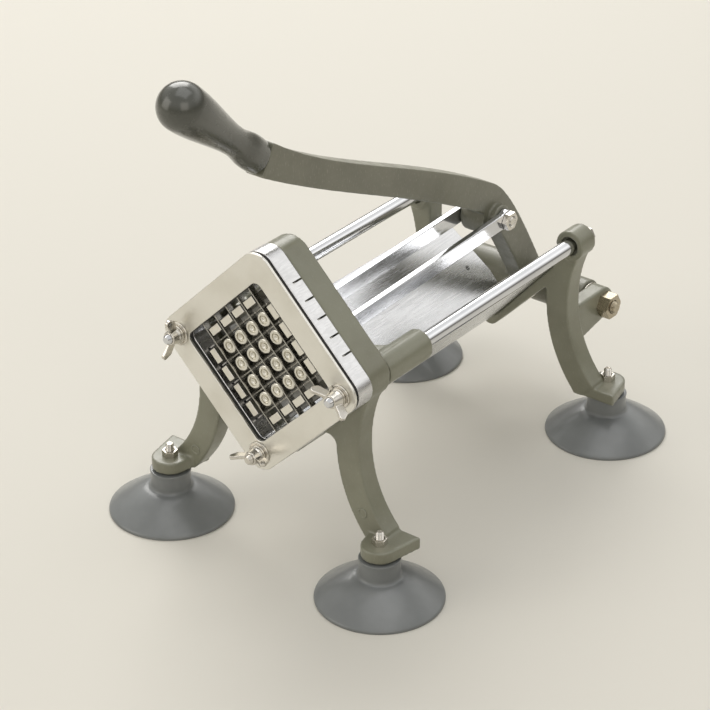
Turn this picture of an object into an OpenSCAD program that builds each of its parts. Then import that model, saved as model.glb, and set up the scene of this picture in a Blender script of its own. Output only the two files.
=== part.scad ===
// Lever press that pushes a potato through a square grid of blades.
// Millimetres. X is across, +Y runs from the cutting head to the pivot, Z is up from the table.
// The origin is on the table, under the middle of the outline.

/* [Cutting grid] */
// Distance from blade to blade, the side of a cut stick
cell = 12.7; // [11.5:0.1:13.5]
// Cells along each side of the grid
cells = 6; // [5:1:7]
// Thickness of a blade
blade_t = 0.8; // [0.5:0.1:1.2]
// Depth of the front row of blades
front_blade_d = 4.6; // [3:0.1:5]
// Depth of the rear row of blades
rear_blade_d = 7; // [5:0.1:8]
// Gap between the outer cells and the wall of the opening
cell_gap = 0.8; // [0.3:0.1:2]

/* [Head] */
// Height of the head's centre and of the guide rods
head_z = 136.5; // [132:0.5:145]
// Wall between the opening and the outside of the head
rim_w = 15.8; // [14:0.1:20]
// Outer corner radius of the head
head_corner_r = 12; // [8:0.5:14]
// Outer corner radius of the cast ring
ring_corner_r = 15; // [12:0.5:18]
// Corner radius of the opening
opening_corner_r = 5; // [2:0.5:7]
// Thickness of the front plate
plate_t = 2; // [1.5:0.1:3]
// Thickness of the dark spacer behind the front plate
gasket_t = 2; // [1:0.1:3]
// How far the spacer's edge stands back from the plate's edge
gasket_inset = 2.2; // [1:0.1:4]
// Thickness of the blade frame
blade_frame_t = 12.6; // [12:0.1:15]
// Thickness of the cast ring behind the blade frame
ring_t = 18.4; // [15:0.1:24]
// Distance from the opening's corner to the axis of a guide rod
rod_inset = 8.1; // [7.5:0.1:9.5]

/* [Guide rods] */
// Diameter of the guide rods
rod_d = 10; // [8:0.5:11]
// Length of the rods between the two castings
rod_clear = 201.5; // [190:0.5:230]
// Diameter of the rods' threaded ends and of the lower stud
stud_d = 6; // [5:0.5:7]
// How deep a rod sits in each casting
rod_seat = 8; // [5:0.5:10]
// Length of the threaded ends ahead of the front plate
stud_out = 12; // [10:0.5:16]

/* [Castings] */
// Thickness of the legs, front to back
leg_t = 14; // [10:0.5:16]
// Width of a leg across its run
leg_w = 16.5; // [13:0.5:19]
// Distance from the centre to a foot stud
foot_x = 82; // [76:0.5:95]
// Distance of the front foot studs behind the front plate
front_foot_back = 10.5; // [6:0.5:13]
// Distance of the rear foot studs behind the rear casting's front
rear_foot_back = 17.8; // [15:0.5:22]
// Height of the top of the foot pads
pad_top = 38; // [34:0.5:44]
// Thickness of the foot pads
pad_t = 7.5; // [5:0.5:9]
// Radius of the round end of a foot pad
pad_r = 14; // [12:0.5:16]
// Radius of the bosses that hold the rear ends of the rods
boss_r = 10; // [8:0.5:11]
// Height of the V bar's section under the trough
vee_depth = 5.8; // [5:0.1:9]
// Thickness of the pivot ears
ear_t = 11; // [8:0.5:13]
// Distance from the centre to the inner face of an ear
ear_in = 48; // [44:0.5:50]
// Radius of the ears' round ends
ear_r = 11; // [10:0.5:13]

/* [Feet] */
// Radius of the suction cups
cup_r = 39.5; // [34:0.5:42]
// Radius of the cups' necks
cup_neck_r = 13; // [10:0.5:14]
// Thickness of a cup's wall
cup_wall = 3.4; // [2.5:0.1:4.5]
// Diameter of the foot studs
foot_stud_d = 4.8; // [4:0.1:6]
// Width of the foot nuts across their flats
foot_nut_af = 8; // [7.5:0.5:10]
// Height of the foot nuts
foot_nut_h = 4.7; // [3:0.1:6]
// Length of the foot studs above their nuts
foot_stud_out = 4.9; // [2:0.1:8]

/* [Trough] */
// Distance from the centre to the trough's top edge
trough_x = 52; // [46:0.5:52]
// Height of the head's centre above the point where the trough's outer faces would meet
trough_drop = 73.9; // [70:0.1:76]
// Thickness of the trough's sheet
sheet_t = 1; // [0.8:0.1:1.6]
// Inner radius of the bend along the bottom of the trough
trough_bend_r = 7; // [4:0.5:12]
// Length of trough that stands out behind the rear casting
trough_over = 10.5; // [6:0.5:11]
// Width of the folded strip along the top edges
hem_w = 3.5; // [2:0.5:6]

/* [Lever] */
// Distance from the front plate's front face to the pivot
pivot_back = 282; // [280:0.5:286]
// Height of the pivot
pivot_z = 74.5; // [72:0.5:78]
// Diameter of the pivot bolt
pivot_d = 8.4; // [7:0.1:10]
// Radius of the barrel at the foot of the lever
barrel_r = 12.5; // [11:0.5:13]
// Distance of the link bolt ahead of the pivot at rest
hub_ahead = 51; // [48:0.5:53]
// Height of the link bolt above the pivot at rest
hub_up = 68.5; // [66:0.5:71]
// Radius of the boss round the link bolt
hub_r = 12; // [10:0.5:14]
// Width of the boss round the link bolt
hub_w = 23.4; // [18:0.2:26]
// Thickness of the lever
lever_t = 13; // [10:0.5:16]
// Depth of the lever's arm where it enters the grip
arm_front_w = 16.5; // [13:0.5:18]
// Depth of the lever's arm above the link bolt
arm_rear_w = 22; // [18:0.5:24]
// Depth of the lever below the link bolt
shank_w = 19.5; // [16:0.5:22]
// Height of the seam between the arm and the grip
grip_seam_z = 269.5; // [264:0.5:276]
// Greatest radius of the grip
grip_r = 13.7; // [12:0.1:17]
// Length of the grip
grip_l = 96.5; // [85:0.5:110]
// Radius of the grip where it meets the arm
grip_neck_r = 9.7; // [9:0.1:11]
// Radius of the grip's waist
grip_waist_r = 8; // [7.5:0.1:9]

/* [Links and pusher] */
// Diameter of the link bolt and of the front pin
pin_d = 8; // [6:0.5:8.5]
// Height of the link bars
link_h = 10.5; // [10:0.5:14]
// Thickness of the link bars
link_t = 4; // [3:0.2:4.6]
// Distance of the front pin behind the ring
pin_back = 11.5; // [11:0.5:14]
// Radius of the sleeves on the rods
sleeve_r = 10; // [8:0.5:11]
// Length of the sleeves
sleeve_l = 41; // [30:1:60]
// Thickness of the pusher plate
pusher_t = 6; // [4:0.5:7]
// Gap between the pusher plate and the wall of the opening
pusher_gap = 2.4; // [1.5:0.1:5]
// Distance from the front plate's front face to the tips of the fingers
finger_tip = 6; // [5:0.5:8]
// Diameter of the round fingers
finger_d = 9.4; // [7:0.1:10]
// Short side of the edge fingers
edge_finger_w = 5; // [4:0.1:7]
// Height that the front pin can ride up in its slots
slot_rise = 19; // [18:0.5:24]

/* [Hidden] */
$fn = 64;
fit_gap = 0.05;       // radial clearance of a pin or rod in its bore
face_gap = 0.3;       // clearance between faces that move past each other
c45 = sqrt(0.5);

// Head, seen from the front: a square that stands on its corner
open_h = cells * cell / 2 + cell_gap;
head_h = open_h + rim_w;
open_tip = open_h / c45 - opening_corner_r * (1 / c45 - 1);
rod_x = open_tip + rod_inset;
stud_z = head_z - rod_x;
rod_r = rod_d / 2;
stud_r = stud_d / 2;

// Outline of the grip, as radius and distance from its seam with the arm
grip_tilt = 40.6;
grip_seam_y = 4;      // behind the front plate's front face
grip_waist = grip_l * 0.2;
grip_belly = grip_l - grip_r;
grip_profile = concat(
    [for (i = [0:8]) bez([[grip_neck_r, 0], [grip_neck_r + 0.3, grip_l * 0.08],
        [grip_waist_r, grip_l * 0.12], [grip_waist_r, grip_waist]], i / 8)],
    [for (i = [1:12]) bez([[grip_waist_r, grip_waist], [grip_waist_r + 0.4, grip_l * 0.38],
        [grip_r - 0.3, grip_l * 0.62], [grip_r, grip_belly]], i / 12)],
    [for (i = [1:12]) let (a = 90 * i / 12) [grip_r * cos(a), grip_belly + grip_r * sin(a)]]
);
grip_ahead = max([for (p = grip_profile) p[1] * cos(grip_tilt) + p[0] * sin(grip_tilt)]) - grip_seam_y;

// Stations along Y, from the front plate's front face to the rear of the rear casting
cup_back = plate_t + gasket_t + blade_frame_t + ring_t + rod_clear + rear_foot_back + cup_r;
front_y = (grip_ahead - cup_back) / 2;
gasket_y = front_y + plate_t;
frame_y = gasket_y + gasket_t;
ring_y = frame_y + blade_frame_t;
ring_back_y = ring_y + ring_t;
rear_y = ring_back_y + rod_clear;
rear_back_y = rear_y + leg_t;
boss_front_y = rear_y - 1.5;
mouth_r = rod_r + 1.3;  // wider mouth of the bosses, round the rods
mouth_d = 3;
front_leg_y = ring_y;
front_foot_y = front_y + front_foot_back;
rear_foot_y = rear_y + rear_foot_back;
rod_front_y = ring_back_y - rod_seat;
rod_back_y = rear_y + rod_seat;
rod_nut_h = 6;
rod_nut_af = 10;
rod_tip_y = rear_back_y + rod_nut_h + 3;
washer_t = 1.5;
washer_r = 7.5;
cone_r = 5.8;
nut_y = front_y - 2 * washer_t;
wing_hub_h = 6.5;
wing_t = 2.2;
wing_r = 4.4;
wing_reach = 9.6;

// Blades
front_blade_y = frame_y + 0.2;
rear_blade_y = ring_y - 0.3 - rear_blade_d;
slot_w = blade_t + 0.4;
blade_hold = 8;       // length of a blade inside the frame's wall
blade_end = 0.8;      // how far a blade's end stands inside the frame's side

// Feet
pad_z = pad_top - pad_t;
stud_seat = 12;       // depth of the foot stud in the cup's neck
stud_top = pad_top + foot_nut_h + foot_stud_out;

// Legs: a strip along a curve from the rod's boss to the foot
web_r = 6.5;
leg_end = [foot_x - 6, pad_top - 4];
rear_leg = [[rod_x, head_z], [rod_x - 13.5, head_z - 28.5], leg_end + [-29.7, 32], leg_end];
front_leg = [[rod_x + 1.5, head_z], [rod_x - 11.5, head_z - 28.5], leg_end + [-29.7, 32], leg_end];

// Trough
trough_z = head_z - trough_drop;
bend_from = 225;
bend_to = 315;
trough_out_r = trough_bend_r + sheet_t;
trough_front_y = ring_back_y + face_gap;
trough_back_y = rear_back_y + trough_over;
trough_top = trough_z + trough_x;
vee_z = trough_z - vee_depth;
vee_bend_r = 6.5;
seat_gap = 0.1;
ledge_l = 8;
screw_r = 2;
screw_x = 24;
screw_head_r = 3.6;
screw_head_h = 2.2;

// Pivot and lever, with the link bolt's place taken from the pivot
pivot_y = front_y + pivot_back;
pivot_r = pivot_d / 2;
ear_out = ear_in + ear_t;
washer_gap_t = 1.2;
barrel_half = ear_in - washer_gap_t - 0.2;
pivot_head_h = 5.5;
pivot_nut_h = 8;
pivot_nut_af = 15;
bush_r = pivot_r + 1.8;
bush_l = 12;
hub_y = pivot_y - hub_ahead;
hub_z = pivot_z + hub_up;
pin_r = pin_d / 2;
seam = [front_y + grip_seam_y, grip_seam_z];
seam_dir = [-cos(grip_tilt), sin(grip_tilt)];
tang_l = 40;          // length of the arm's tang inside the grip
tang_r = 5.5;
arm_flare = 2.5;       // extra depth of the arm at the seam
crown = [hub_y - 7.2, hub_z + 15];
arm_curve = [seam + [1.5, -1], seam + [64, -35], crown + [-75, 41], crown];
shank_curve = [crown, crown + [18, -10], [pivot_y - 16, pivot_z + 27], [pivot_y, pivot_z]];

// Links and pusher
link_in = hub_w / 2 + face_gap;
link_out = link_in + link_t;
link_pin_y = ring_back_y + pin_back;
link_pin_z = head_z;
link_nut_h = 4;
link_nut_af = 12;
clip_t = 1.2;
pusher_h = open_h - pusher_gap;
finger_back_y = ring_y + 5.4;
spine_y = finger_back_y + pusher_t;
sleeve_y = ring_back_y + 1;
carriage_y = ring_back_y + 1.5;
spine_x = open_tip - 12;
arm_x = link_out + clip_t + 1.6;
arm_d = 10;
arm_half = 8;          // half the height of the arms
spine_half = 10;       // half the height of the spine
screw_span = 26;       // distance of the pusher's screws from the centre
lug_low = 14;          // depth of the lugs below the pin
lug_over = [10, 9, 12, 6];     // metal above the spine, and over the slot from its rear to its front
lug_in = 4;
lug_out = link_in - 1;
slot_half = pin_r + 2;     // room for the pin to move in the slot as the lever swings
lug_back_y = link_pin_y + slot_half + 4.5;

// ---- Curves and outlines ----

function bez(p, t) =
    p[0] * pow(1 - t, 3) + p[1] * 3 * t * pow(1 - t, 2) + p[2] * 3 * t * t * (1 - t) + p[3] * pow(t, 3);
function bez_dir(p, t) =
    (p[1] - p[0]) * pow(1 - t, 2) + (p[2] - p[1]) * 2 * t * (1 - t) + (p[3] - p[2]) * t * t;
function left_of(v) = [-v[1], v[0]] / norm(v);

// Outline of a strip that follows the curve p and goes from width w0 to width w1, wider by flare at its start
function strip(p, w0, w1, n = 20, flare = 0) = concat(
    [for (i = [0:n]) bez(p, i / n) + left_of(bez_dir(p, i / n)) * strip_half(w0, w1, i / n, flare)],
    [for (i = [n:-1:0]) bez(p, i / n) - left_of(bez_dir(p, i / n)) * strip_half(w0, w1, i / n, flare)]
);
function strip_half(w0, w1, t, flare) = (w0 + (w1 - w0) * t + flare * pow(1 - t, 8)) / 2;

// Points of an arc round c, from angle a0 to angle a1
function arc(c, r, a0, a1, n = 10) = [for (i = [0:n]) let (a = a0 + (a1 - a0) * i / n) c + r * [cos(a), sin(a)]];

// Outline of a rounded square of half side h that stands on its corner
function diamond(h, r, n = 8) = [
    for (k = [0:3]) for (i = [0:n])
        let (a = 90 * k + 90 * i / n, q = 90 * k + 45)
        turn([(h - r) / c45 * cos(q) + r * cos(a), (h - r) / c45 * sin(q) + r * sin(a)])
];
function turn(p) = [(p[0] - p[1]) * c45, (p[0] + p[1]) * c45];

// Cylinders along X and along Y
module along_x(x0, x1, y, z, r) translate([x0, y, z]) rotate([0, 90, 0]) cylinder(h = x1 - x0, r = r);
module along_y(x, y0, y1, z, r) translate([x, y0, z]) rotate([-90, 0, 0]) cylinder(h = y1 - y0, r = r);

// An outline in X and Z, drawn from y0 to y1, and one in Y and Z, drawn from x0 to x1
module slab_xz(y0, y1) translate([0, y1, 0]) rotate([90, 0, 0]) linear_extrude(y1 - y0) children();
module slab_yz(x0, x1) translate([x0, 0, 0]) rotate([90, 0, 90]) linear_extrude(x1 - x0) children();

// A six-sided nut along Y or along X, with its bore
module nut_y_axis(x, y0, y1, z, af, bore_r) difference() {
    translate([x, y0, z]) rotate([-90, 0, 0]) cylinder(h = y1 - y0, d = af / cos(30), $fn = 6);
    along_y(x, y0 - 1, y1 + 1, z, bore_r);
}
module nut_x_axis(x0, x1, y, z, af, bore_r) difference() {
    translate([x0, y, z]) rotate([0, 90, 0]) cylinder(h = x1 - x0, d = af / cos(30), $fn = 6);
    along_x(x0 - 1, x1 + 1, y, z, bore_r);
}

// Slabs of the head, with the three holes for the threaded ends
module head_slab(y0, y1, h, r) slab_xz(y0, y1) translate([0, head_z]) polygon(diamond(h, r));
module head_holes(y0, y1, r) {
    for (x = [-rod_x, rod_x]) along_y(x, y0, y1, head_z, r);
    along_y(0, y0, y1, stud_z, r);
}
module head_opening(y0, y1) slab_xz(y0, y1) translate([0, head_z]) polygon(diamond(open_h, opening_corner_r));

// Steps along the head's own two directions: u is up and right, v is down and right
module in_head(u, v) translate([(u + v) * c45, 0, head_z + (u - v) * c45]) rotate([0, -45, 0]) children();
function line_at(i) = (i - cells / 2) * cell;
function cell_at(i) = (i + 0.5 - cells / 2) * cell;
function on_border(i) = i == 0 || i == cells - 1;

// ---- Castings ----

module leg_half(curve, w_top, y0) intersection() {
    slab_xz(y0, y0 + leg_t) polygon(strip(curve, w_top, leg_w));
    translate([0, y0 - 1, pad_z]) cube([foot_x * 2, leg_t + 2, head_z * 2]);
}

module foot_pad(foot_y, flat_y) {
    side = flat_y > foot_y ? 1 : -1;
    difference() {
        translate([0, 0, pad_z]) linear_extrude(pad_t) union() {
            translate([foot_x, foot_y]) circle(pad_r);
            translate([foot_x - pad_r, min(foot_y, flat_y)]) square([2 * pad_r, abs(flat_y - foot_y)]);
        }
        translate([foot_x, foot_y, pad_z - 1]) cylinder(h = pad_t + 2, r = foot_stud_d / 2 + 0.2);
    }
}

module both_sides() {
    children();
    mirror([1, 0, 0]) children();
}

module front_casting() color([0.48, 0.50, 0.46]) difference() {
    union() {
        head_slab(ring_y, ring_back_y, head_h, ring_corner_r);
        both_sides() {
            leg_half(front_leg, leg_w + 1, front_leg_y);
            foot_pad(front_foot_y, front_leg_y + leg_t);
            front_fillet();
            leg_mark();
        }
        front_ledge();
    }
    head_opening(ring_y - 1, ring_back_y + 1);
    head_holes(ring_y - 1, rod_front_y + 1, stud_r + 0.1);
    for (x = [-rod_x, rod_x]) along_y(x, rod_front_y, ring_back_y + 1, head_z, rod_r + fit_gap);
    ledge_screw_holes(ring_back_y + ledge_l / 2);
    nut_room(front_foot_y);
}

// Room round the foot nuts, where a leg comes close to them
module nut_room(foot_y) both_sides() translate([foot_x, foot_y, pad_top])
    cylinder(h = foot_nut_h + foot_stud_out, d = foot_nut_af / cos(30) + 1);

// The web that blends the inner edge of a front leg into the underside of the ring
module front_fillet() {
    low = head_z - head_h / c45;
    edge_x = (bez(front_leg, 0.42) - left_of(bez_dir(front_leg, 0.42)) * leg_w / 2)[0];
    mid = [edge_x - web_r, low + edge_x - web_r - web_r / c45];
    slab_xz(front_leg_y, front_leg_y + leg_t)
        polygon(concat([[edge_x + 4, mid[1]], [edge_x + 4, low + edge_x + 8]], arc(mid, web_r, 135, 0, 8)));
}

// Raised round mark low on a front leg's front face
module leg_mark() along_y(foot_x - 16, front_leg_y - 0.6, front_leg_y + 1, pad_top + 7, 3.2);

// Ledge on the ring's rear face that carries the front of the trough
module front_ledge() difference() {
    slab_xz(ring_back_y - 1, ring_back_y + ledge_l) polygon([
        [-34, vee_z + 36], [0, vee_z + 2], [34, vee_z + 36], [34, trough_z + 40], [-34, trough_z + 40]
    ]);
    trough_space(ring_back_y - 2, ring_back_y + ledge_l + 1);
}

// All that lies on or above the trough's outer faces, taken out of what carries the trough
module trough_space(y0, y1) slab_xz(y0, y1) polygon(concat(
    [[-trough_x - 0.6, head_z * 2], [-trough_x - 0.6, trough_top + 0.6 - seat_gap]],
    arc([0, trough_z - seat_gap + trough_out_r / c45], trough_out_r, bend_from, bend_to, 8),
    [[trough_x + 0.6, trough_top + 0.6 - seat_gap], [trough_x + 0.6, head_z * 2]]
));

// Screw holes, square to the trough's faces, at the middle of a seat
module at_screws(y) for (s = [-1, 1])
    translate([s * screw_x, y, trough_z + screw_x]) rotate([0, -45 * s, 0]) rotate([180, 0, 0]) children();
module ledge_screw_holes(y) at_screws(y) translate([0, 0, -4]) cylinder(h = 20, r = screw_r + 0.1);

module rear_casting() color([0.48, 0.50, 0.46]) difference() {
    union() {
        difference() {
            union() {
                both_sides() leg_half(rear_leg, leg_w, rear_y);
                vee_bar();
            }
            trough_space(rear_y - 1, rear_back_y + 1);
        }
        both_sides() {
            along_y(rod_x, boss_front_y, rear_back_y, head_z, boss_r);
            foot_pad(rear_foot_y, rear_y + 1);
            slab_yz(ear_in, ear_out) polygon(ear_outline);
        }
    }
    for (x = [-rod_x, rod_x]) {
        along_y(x, boss_front_y - 1, rod_back_y, head_z, rod_r + fit_gap);
        along_y(x, boss_front_y - 1, boss_front_y + mouth_d, head_z, mouth_r);
        along_y(x, rod_back_y - 1, rear_back_y + 1, head_z, stud_r + 0.1);
    }
    along_x(-ear_out - 1, ear_out + 1, pivot_y, pivot_z, pivot_r + fit_gap);
    ledge_screw_holes(rear_y + leg_t / 2);
    nut_room(rear_foot_y);
}

ear_outline = concat(
    [[rear_back_y - 5, pivot_z + ear_r], [rear_back_y - 5, pivot_z - ear_r - 6], [rear_back_y, pivot_z - ear_r - 6]],
    [[rear_back_y + 8, pivot_z - ear_r - 4.5]],
    arc([pivot_y, pivot_z], ear_r, -90, 90, 16)
);

module vee_bar() slab_xz(rear_y, rear_back_y) polygon(concat(
    [[-rod_x + 9, trough_z + rod_x - 6], [-rod_x + 9, vee_z + rod_x - 9]],
    arc([0, vee_z + vee_bend_r / c45], vee_bend_r, bend_from, bend_to, 8),
    [[rod_x - 9, vee_z + rod_x - 9], [rod_x - 9, trough_z + rod_x - 6], [0, trough_z + 8]]
));

// ---- Rods, studs and their nuts ----

module guide_rod(x) color([0.86, 0.87, 0.88]) {
    along_y(x, rod_front_y, rod_back_y, head_z, rod_r);
    along_y(x, front_y - stud_out, rod_front_y + 1, head_z, stud_r);
    along_y(x, rod_back_y - 1, rod_tip_y, head_z, stud_r);
}
module guide_rod_left() guide_rod(-rod_x);
module guide_rod_right() guide_rod(rod_x);

module rod_nuts() color([0.75, 0.74, 0.70])
    for (x = [-rod_x, rod_x]) nut_y_axis(x, rear_back_y, rear_back_y + rod_nut_h, head_z, rod_nut_af, stud_r + fit_gap);

module lower_stud() color([0.75, 0.74, 0.70]) along_y(0, front_y - stud_out, rod_front_y, stud_z, stud_r);

module clamp_washers() color([0.75, 0.74, 0.70]) for (p = [[-rod_x, head_z], [rod_x, head_z], [0, stud_z]])
    difference() {
        union() {
            along_y(p[0], front_y - washer_t, front_y, p[1], washer_r);
            along_y(p[0], nut_y, front_y - washer_t, p[1], cone_r);
        }
        along_y(p[0], nut_y - 1, front_y + 1, p[1], stud_r + fit_gap);
    }

// A wing nut whose wings lie at the angle a above +X
module wing_nut(x, z, a) color([0.78, 0.76, 0.72]) translate([x, nut_y, z]) rotate([0, -a, 0]) difference() {
    union() {
        rotate([90, 0, 0]) cylinder(h = wing_hub_h, r1 = cone_r - 0.2, r2 = cone_r - 1.6);
        for (s = [0, 180]) rotate([0, s, 0]) translate([0, 0, -wing_t / 2]) linear_extrude(wing_t)
            polygon(concat([[stud_r + 1, -0.4], [cone_r + 1.4, -1.2]],
                arc([wing_reach, -wing_hub_h + 0.8], wing_r, 90, -150, 14), [[stud_r + 1, -wing_hub_h + 1]]));
    }
    rotate([90, 0, 0]) translate([0, 0, -1]) cylinder(h = wing_hub_h + 2, r = stud_r + fit_gap);
}
module wing_nut_left() wing_nut(-rod_x, head_z, 81);
module wing_nut_right() wing_nut(rod_x, head_z, 153);
module wing_nut_bottom() wing_nut(0, stud_z, 9);

// ---- Cutting head ----

module front_plate() color([0.80, 0.79, 0.74]) difference() {
    head_slab(front_y, gasket_y, head_h, head_corner_r);
    head_opening(front_y - 1, gasket_y + 1);
    head_holes(front_y - 1, gasket_y + 1, stud_r + 0.2);
}

module plate_spacer() color([0.15, 0.15, 0.15]) difference() {
    head_slab(gasket_y, frame_y, head_h - gasket_inset, head_corner_r - gasket_inset);
    head_opening(gasket_y - 1, frame_y + 1);
    head_holes(gasket_y - 1, frame_y + 1, stud_r + 0.2);
}

module blade_frame() color([0.85, 0.85, 0.86]) difference() {
    head_slab(frame_y, ring_y, head_h, head_corner_r);
    head_opening(frame_y - 1, ring_y + 1);
    head_holes(frame_y - 1, ring_y + 1, stud_r + 0.2);
    for (i = [1:cells - 1]) {
        in_head(line_at(i), 0) blade_box(slot_w, frame_y - 1, front_blade_y + front_blade_d + 0.1, open_h + blade_hold);
        in_head(0, line_at(i)) rotate([0, 90, 0]) blade_box(slot_w, rear_blade_y - 1, ring_y + 1, head_h + 1);
    }
}

// A flat box across the head: t thick, from y0 to y1, reaching half_l each way
module blade_box(t, y0, y1, half_l) translate([-t / 2, y0, -half_l]) cube([t, y1 - y0, 2 * half_l]);

module front_blades() color([0.80, 0.81, 0.82]) for (i = [1:cells - 1])
    in_head(line_at(i), 0) blade_box(blade_t, front_blade_y, front_blade_y + front_blade_d, open_h + blade_hold - 0.3);

module rear_blades() color([0.80, 0.81, 0.82]) for (i = [1:cells - 1])
    in_head(0, line_at(i)) rotate([0, 90, 0])
        blade_box(blade_t, rear_blade_y, rear_blade_y + rear_blade_d, head_h - blade_end);

// ---- Trough ----

module trough() color([0.83, 0.84, 0.86]) difference() {
    slab_xz(trough_front_y, trough_back_y) polygon(concat(
        [[-trough_x, trough_top]],
        arc([0, trough_z + trough_out_r / c45], trough_out_r, bend_from, bend_to, 10),
        [[trough_x, trough_top], [trough_x, trough_top] + 1.8 * sheet_t * [-c45, c45]],
        [[trough_x, trough_top] + 1.8 * sheet_t * [-c45, c45] - hem_w * [c45, c45]],
        [[trough_x, trough_top] + sheet_t * [-c45, c45] - hem_w * [c45, c45]],
        arc([0, trough_z + trough_out_r / c45], trough_bend_r, bend_to, bend_from, 10),
        [[-trough_x, trough_top] + sheet_t * [c45, c45] + hem_w * [c45, -c45]],
        [[-trough_x, trough_top] + 1.8 * sheet_t * [c45, c45] + hem_w * [c45, -c45]],
        [[-trough_x, trough_top] + 1.8 * sheet_t * [c45, c45]]
    ));
    slab_yz(-trough_x - 2, trough_x + 2) polygon([
        [trough_back_y - 13, trough_top + 5], [trough_back_y + 1, trough_z + 18], [trough_back_y + 1, trough_top + 5]
    ]);
    ledge_screw_holes(ring_back_y + ledge_l / 2);
    ledge_screw_holes(rear_y + leg_t / 2);
}

module trough_screws() color([0.78, 0.77, 0.74]) for (y = [ring_back_y + ledge_l / 2, rear_y + leg_t / 2])
    at_screws(y) {
        translate([0, 0, -sheet_t]) cylinder(h = sheet_t + vee_depth * c45 + 1, r = screw_r);
        translate([0, 0, vee_depth * c45]) cylinder(h = screw_head_h, r = screw_head_r);
    }

// ---- Feet ----

cup_top = pad_z;
neck_z = 14.5;
cup_shoulder = [cup_neck_r + 1.2, neck_z - 0.8];
module suction_cup(x, y) color([0.48, 0.49, 0.51]) translate([x, y, 0]) difference() {
    rotate_extrude($fn = 96) polygon(concat(
        [[0, cup_top], [0, neck_z - cup_wall - 1.5]],
        [for (i = [1:6]) let (r = (cup_r - 2) * i / 6) [r, (neck_z - cup_wall - 1.5) * (1 - pow(r / (cup_r - 2), 2))]],
        [[cup_r, 0], [cup_r, 1.4], [cup_r - 1.2, 2.6]],
        [for (i = [5:-1:1]) let (t = i / 6) [
            cup_shoulder[0] + (cup_r - 1.2 - cup_shoulder[0]) * t,
            2.6 + (cup_shoulder[1] - 2.6) * (1 - pow(t, 1.35))]],
        [cup_shoulder, [cup_neck_r, neck_z + 1], [cup_neck_r, cup_top - 1], [cup_neck_r - 1, cup_top]]
    ));
    translate([0, 0, cup_top - stud_seat]) cylinder(h = stud_seat + 1, r = foot_stud_d / 2 + fit_gap);
}
module suction_cup_front_left() suction_cup(-foot_x, front_foot_y);
module suction_cup_front_right() suction_cup(foot_x, front_foot_y);
module suction_cup_rear_left() suction_cup(-foot_x, rear_foot_y);
module suction_cup_rear_right() suction_cup(foot_x, rear_foot_y);

module at_feet() for (x = [-foot_x, foot_x], y = [front_foot_y, rear_foot_y]) translate([x, y, 0]) children();

module foot_studs() color([0.78, 0.76, 0.72]) at_feet()
    translate([0, 0, pad_z - stud_seat + 0.2]) cylinder(h = stud_top - pad_z + stud_seat - 0.2, r = foot_stud_d / 2);

module foot_nuts() color([0.78, 0.76, 0.72]) at_feet() translate([0, 0, pad_top]) difference() {
    cylinder(h = foot_nut_h, d = foot_nut_af / cos(30), $fn = 6);
    translate([0, 0, -1]) cylinder(h = foot_nut_h + 2, r = foot_stud_d / 2 + fit_gap);
}

// ---- Lever ----

module lever() color([0.45, 0.47, 0.43]) difference() {
    union() {
        slab_yz(-lever_t / 2, lever_t / 2) polygon(strip(arm_curve, arm_front_w, arm_rear_w, 28, arm_flare));
        slab_yz(-lever_t / 2, lever_t / 2) polygon(strip(shank_curve, arm_rear_w, shank_w));
        along_x(-lever_t / 2, lever_t / 2, crown[0], crown[1], arm_rear_w / 2);
        along_x(-hub_w / 2, hub_w / 2, hub_y, hub_z, hub_r);
        along_x(-barrel_half, barrel_half, pivot_y, pivot_z, barrel_r);
        translate([0, seam[0], seam[1]]) rotate([90 - grip_tilt, 0, 0]) translate([0, 0, -2]) cylinder(h = tang_l, r = tang_r);
    }
    along_x(-hub_w, hub_w, hub_y, hub_z, pin_r + fit_gap);
    along_x(-barrel_half - 1, barrel_half + 1, pivot_y, pivot_z, pivot_r + 0.3);
    for (s = [-1, 1]) along_x(s > 0 ? barrel_half - bush_l : -barrel_half - 1, s > 0 ? barrel_half + 1 : -barrel_half + bush_l,
        pivot_y, pivot_z, bush_r + 0.02);
}

module lever_bushes() color([0.62, 0.55, 0.35]) for (x0 = [-barrel_half, barrel_half - bush_l]) difference() {
    along_x(x0, x0 + bush_l, pivot_y, pivot_z, bush_r);
    along_x(x0 - 1, x0 + bush_l + 1, pivot_y, pivot_z, pivot_r + fit_gap);
}

module grip() color([0.38, 0.40, 0.39]) translate([0, seam[0], seam[1]]) rotate([90 - grip_tilt, 0, 0]) difference() {
    rotate_extrude() polygon(concat([[0, 0]], grip_profile));
    translate([0, 0, -1]) cylinder(h = tang_l, r = tang_r + fit_gap);
}

module pivot_bolt() color([0.74, 0.71, 0.64]) {
    along_x(-ear_out, ear_out + pivot_nut_h + 2.5, pivot_y, pivot_z, pivot_r);
    translate([-ear_out - pivot_head_h, pivot_y, pivot_z]) rotate([0, 90, 0])
        cylinder(h = pivot_head_h, d = pivot_nut_af / cos(30), $fn = 6);
}
module pivot_nut() color([0.72, 0.66, 0.54])
    nut_x_axis(ear_out, ear_out + pivot_nut_h, pivot_y, pivot_z, pivot_nut_af, pivot_r + fit_gap);
module pivot_washers() color([0.74, 0.73, 0.70]) for (x0 = [-ear_in, ear_in - washer_gap_t]) difference() {
    along_x(x0, x0 + washer_gap_t, pivot_y, pivot_z, barrel_r - 1.5);
    along_x(x0 - 1, x0 + washer_gap_t + 1, pivot_y, pivot_z, pivot_r + fit_gap);
}

// ---- Links ----

link_run = [hub_y - link_pin_y, hub_z - link_pin_z];
link_l = norm(link_run);
link_slope = atan2(link_run[1], link_run[0]);
link_end_r = 6.6;

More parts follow.
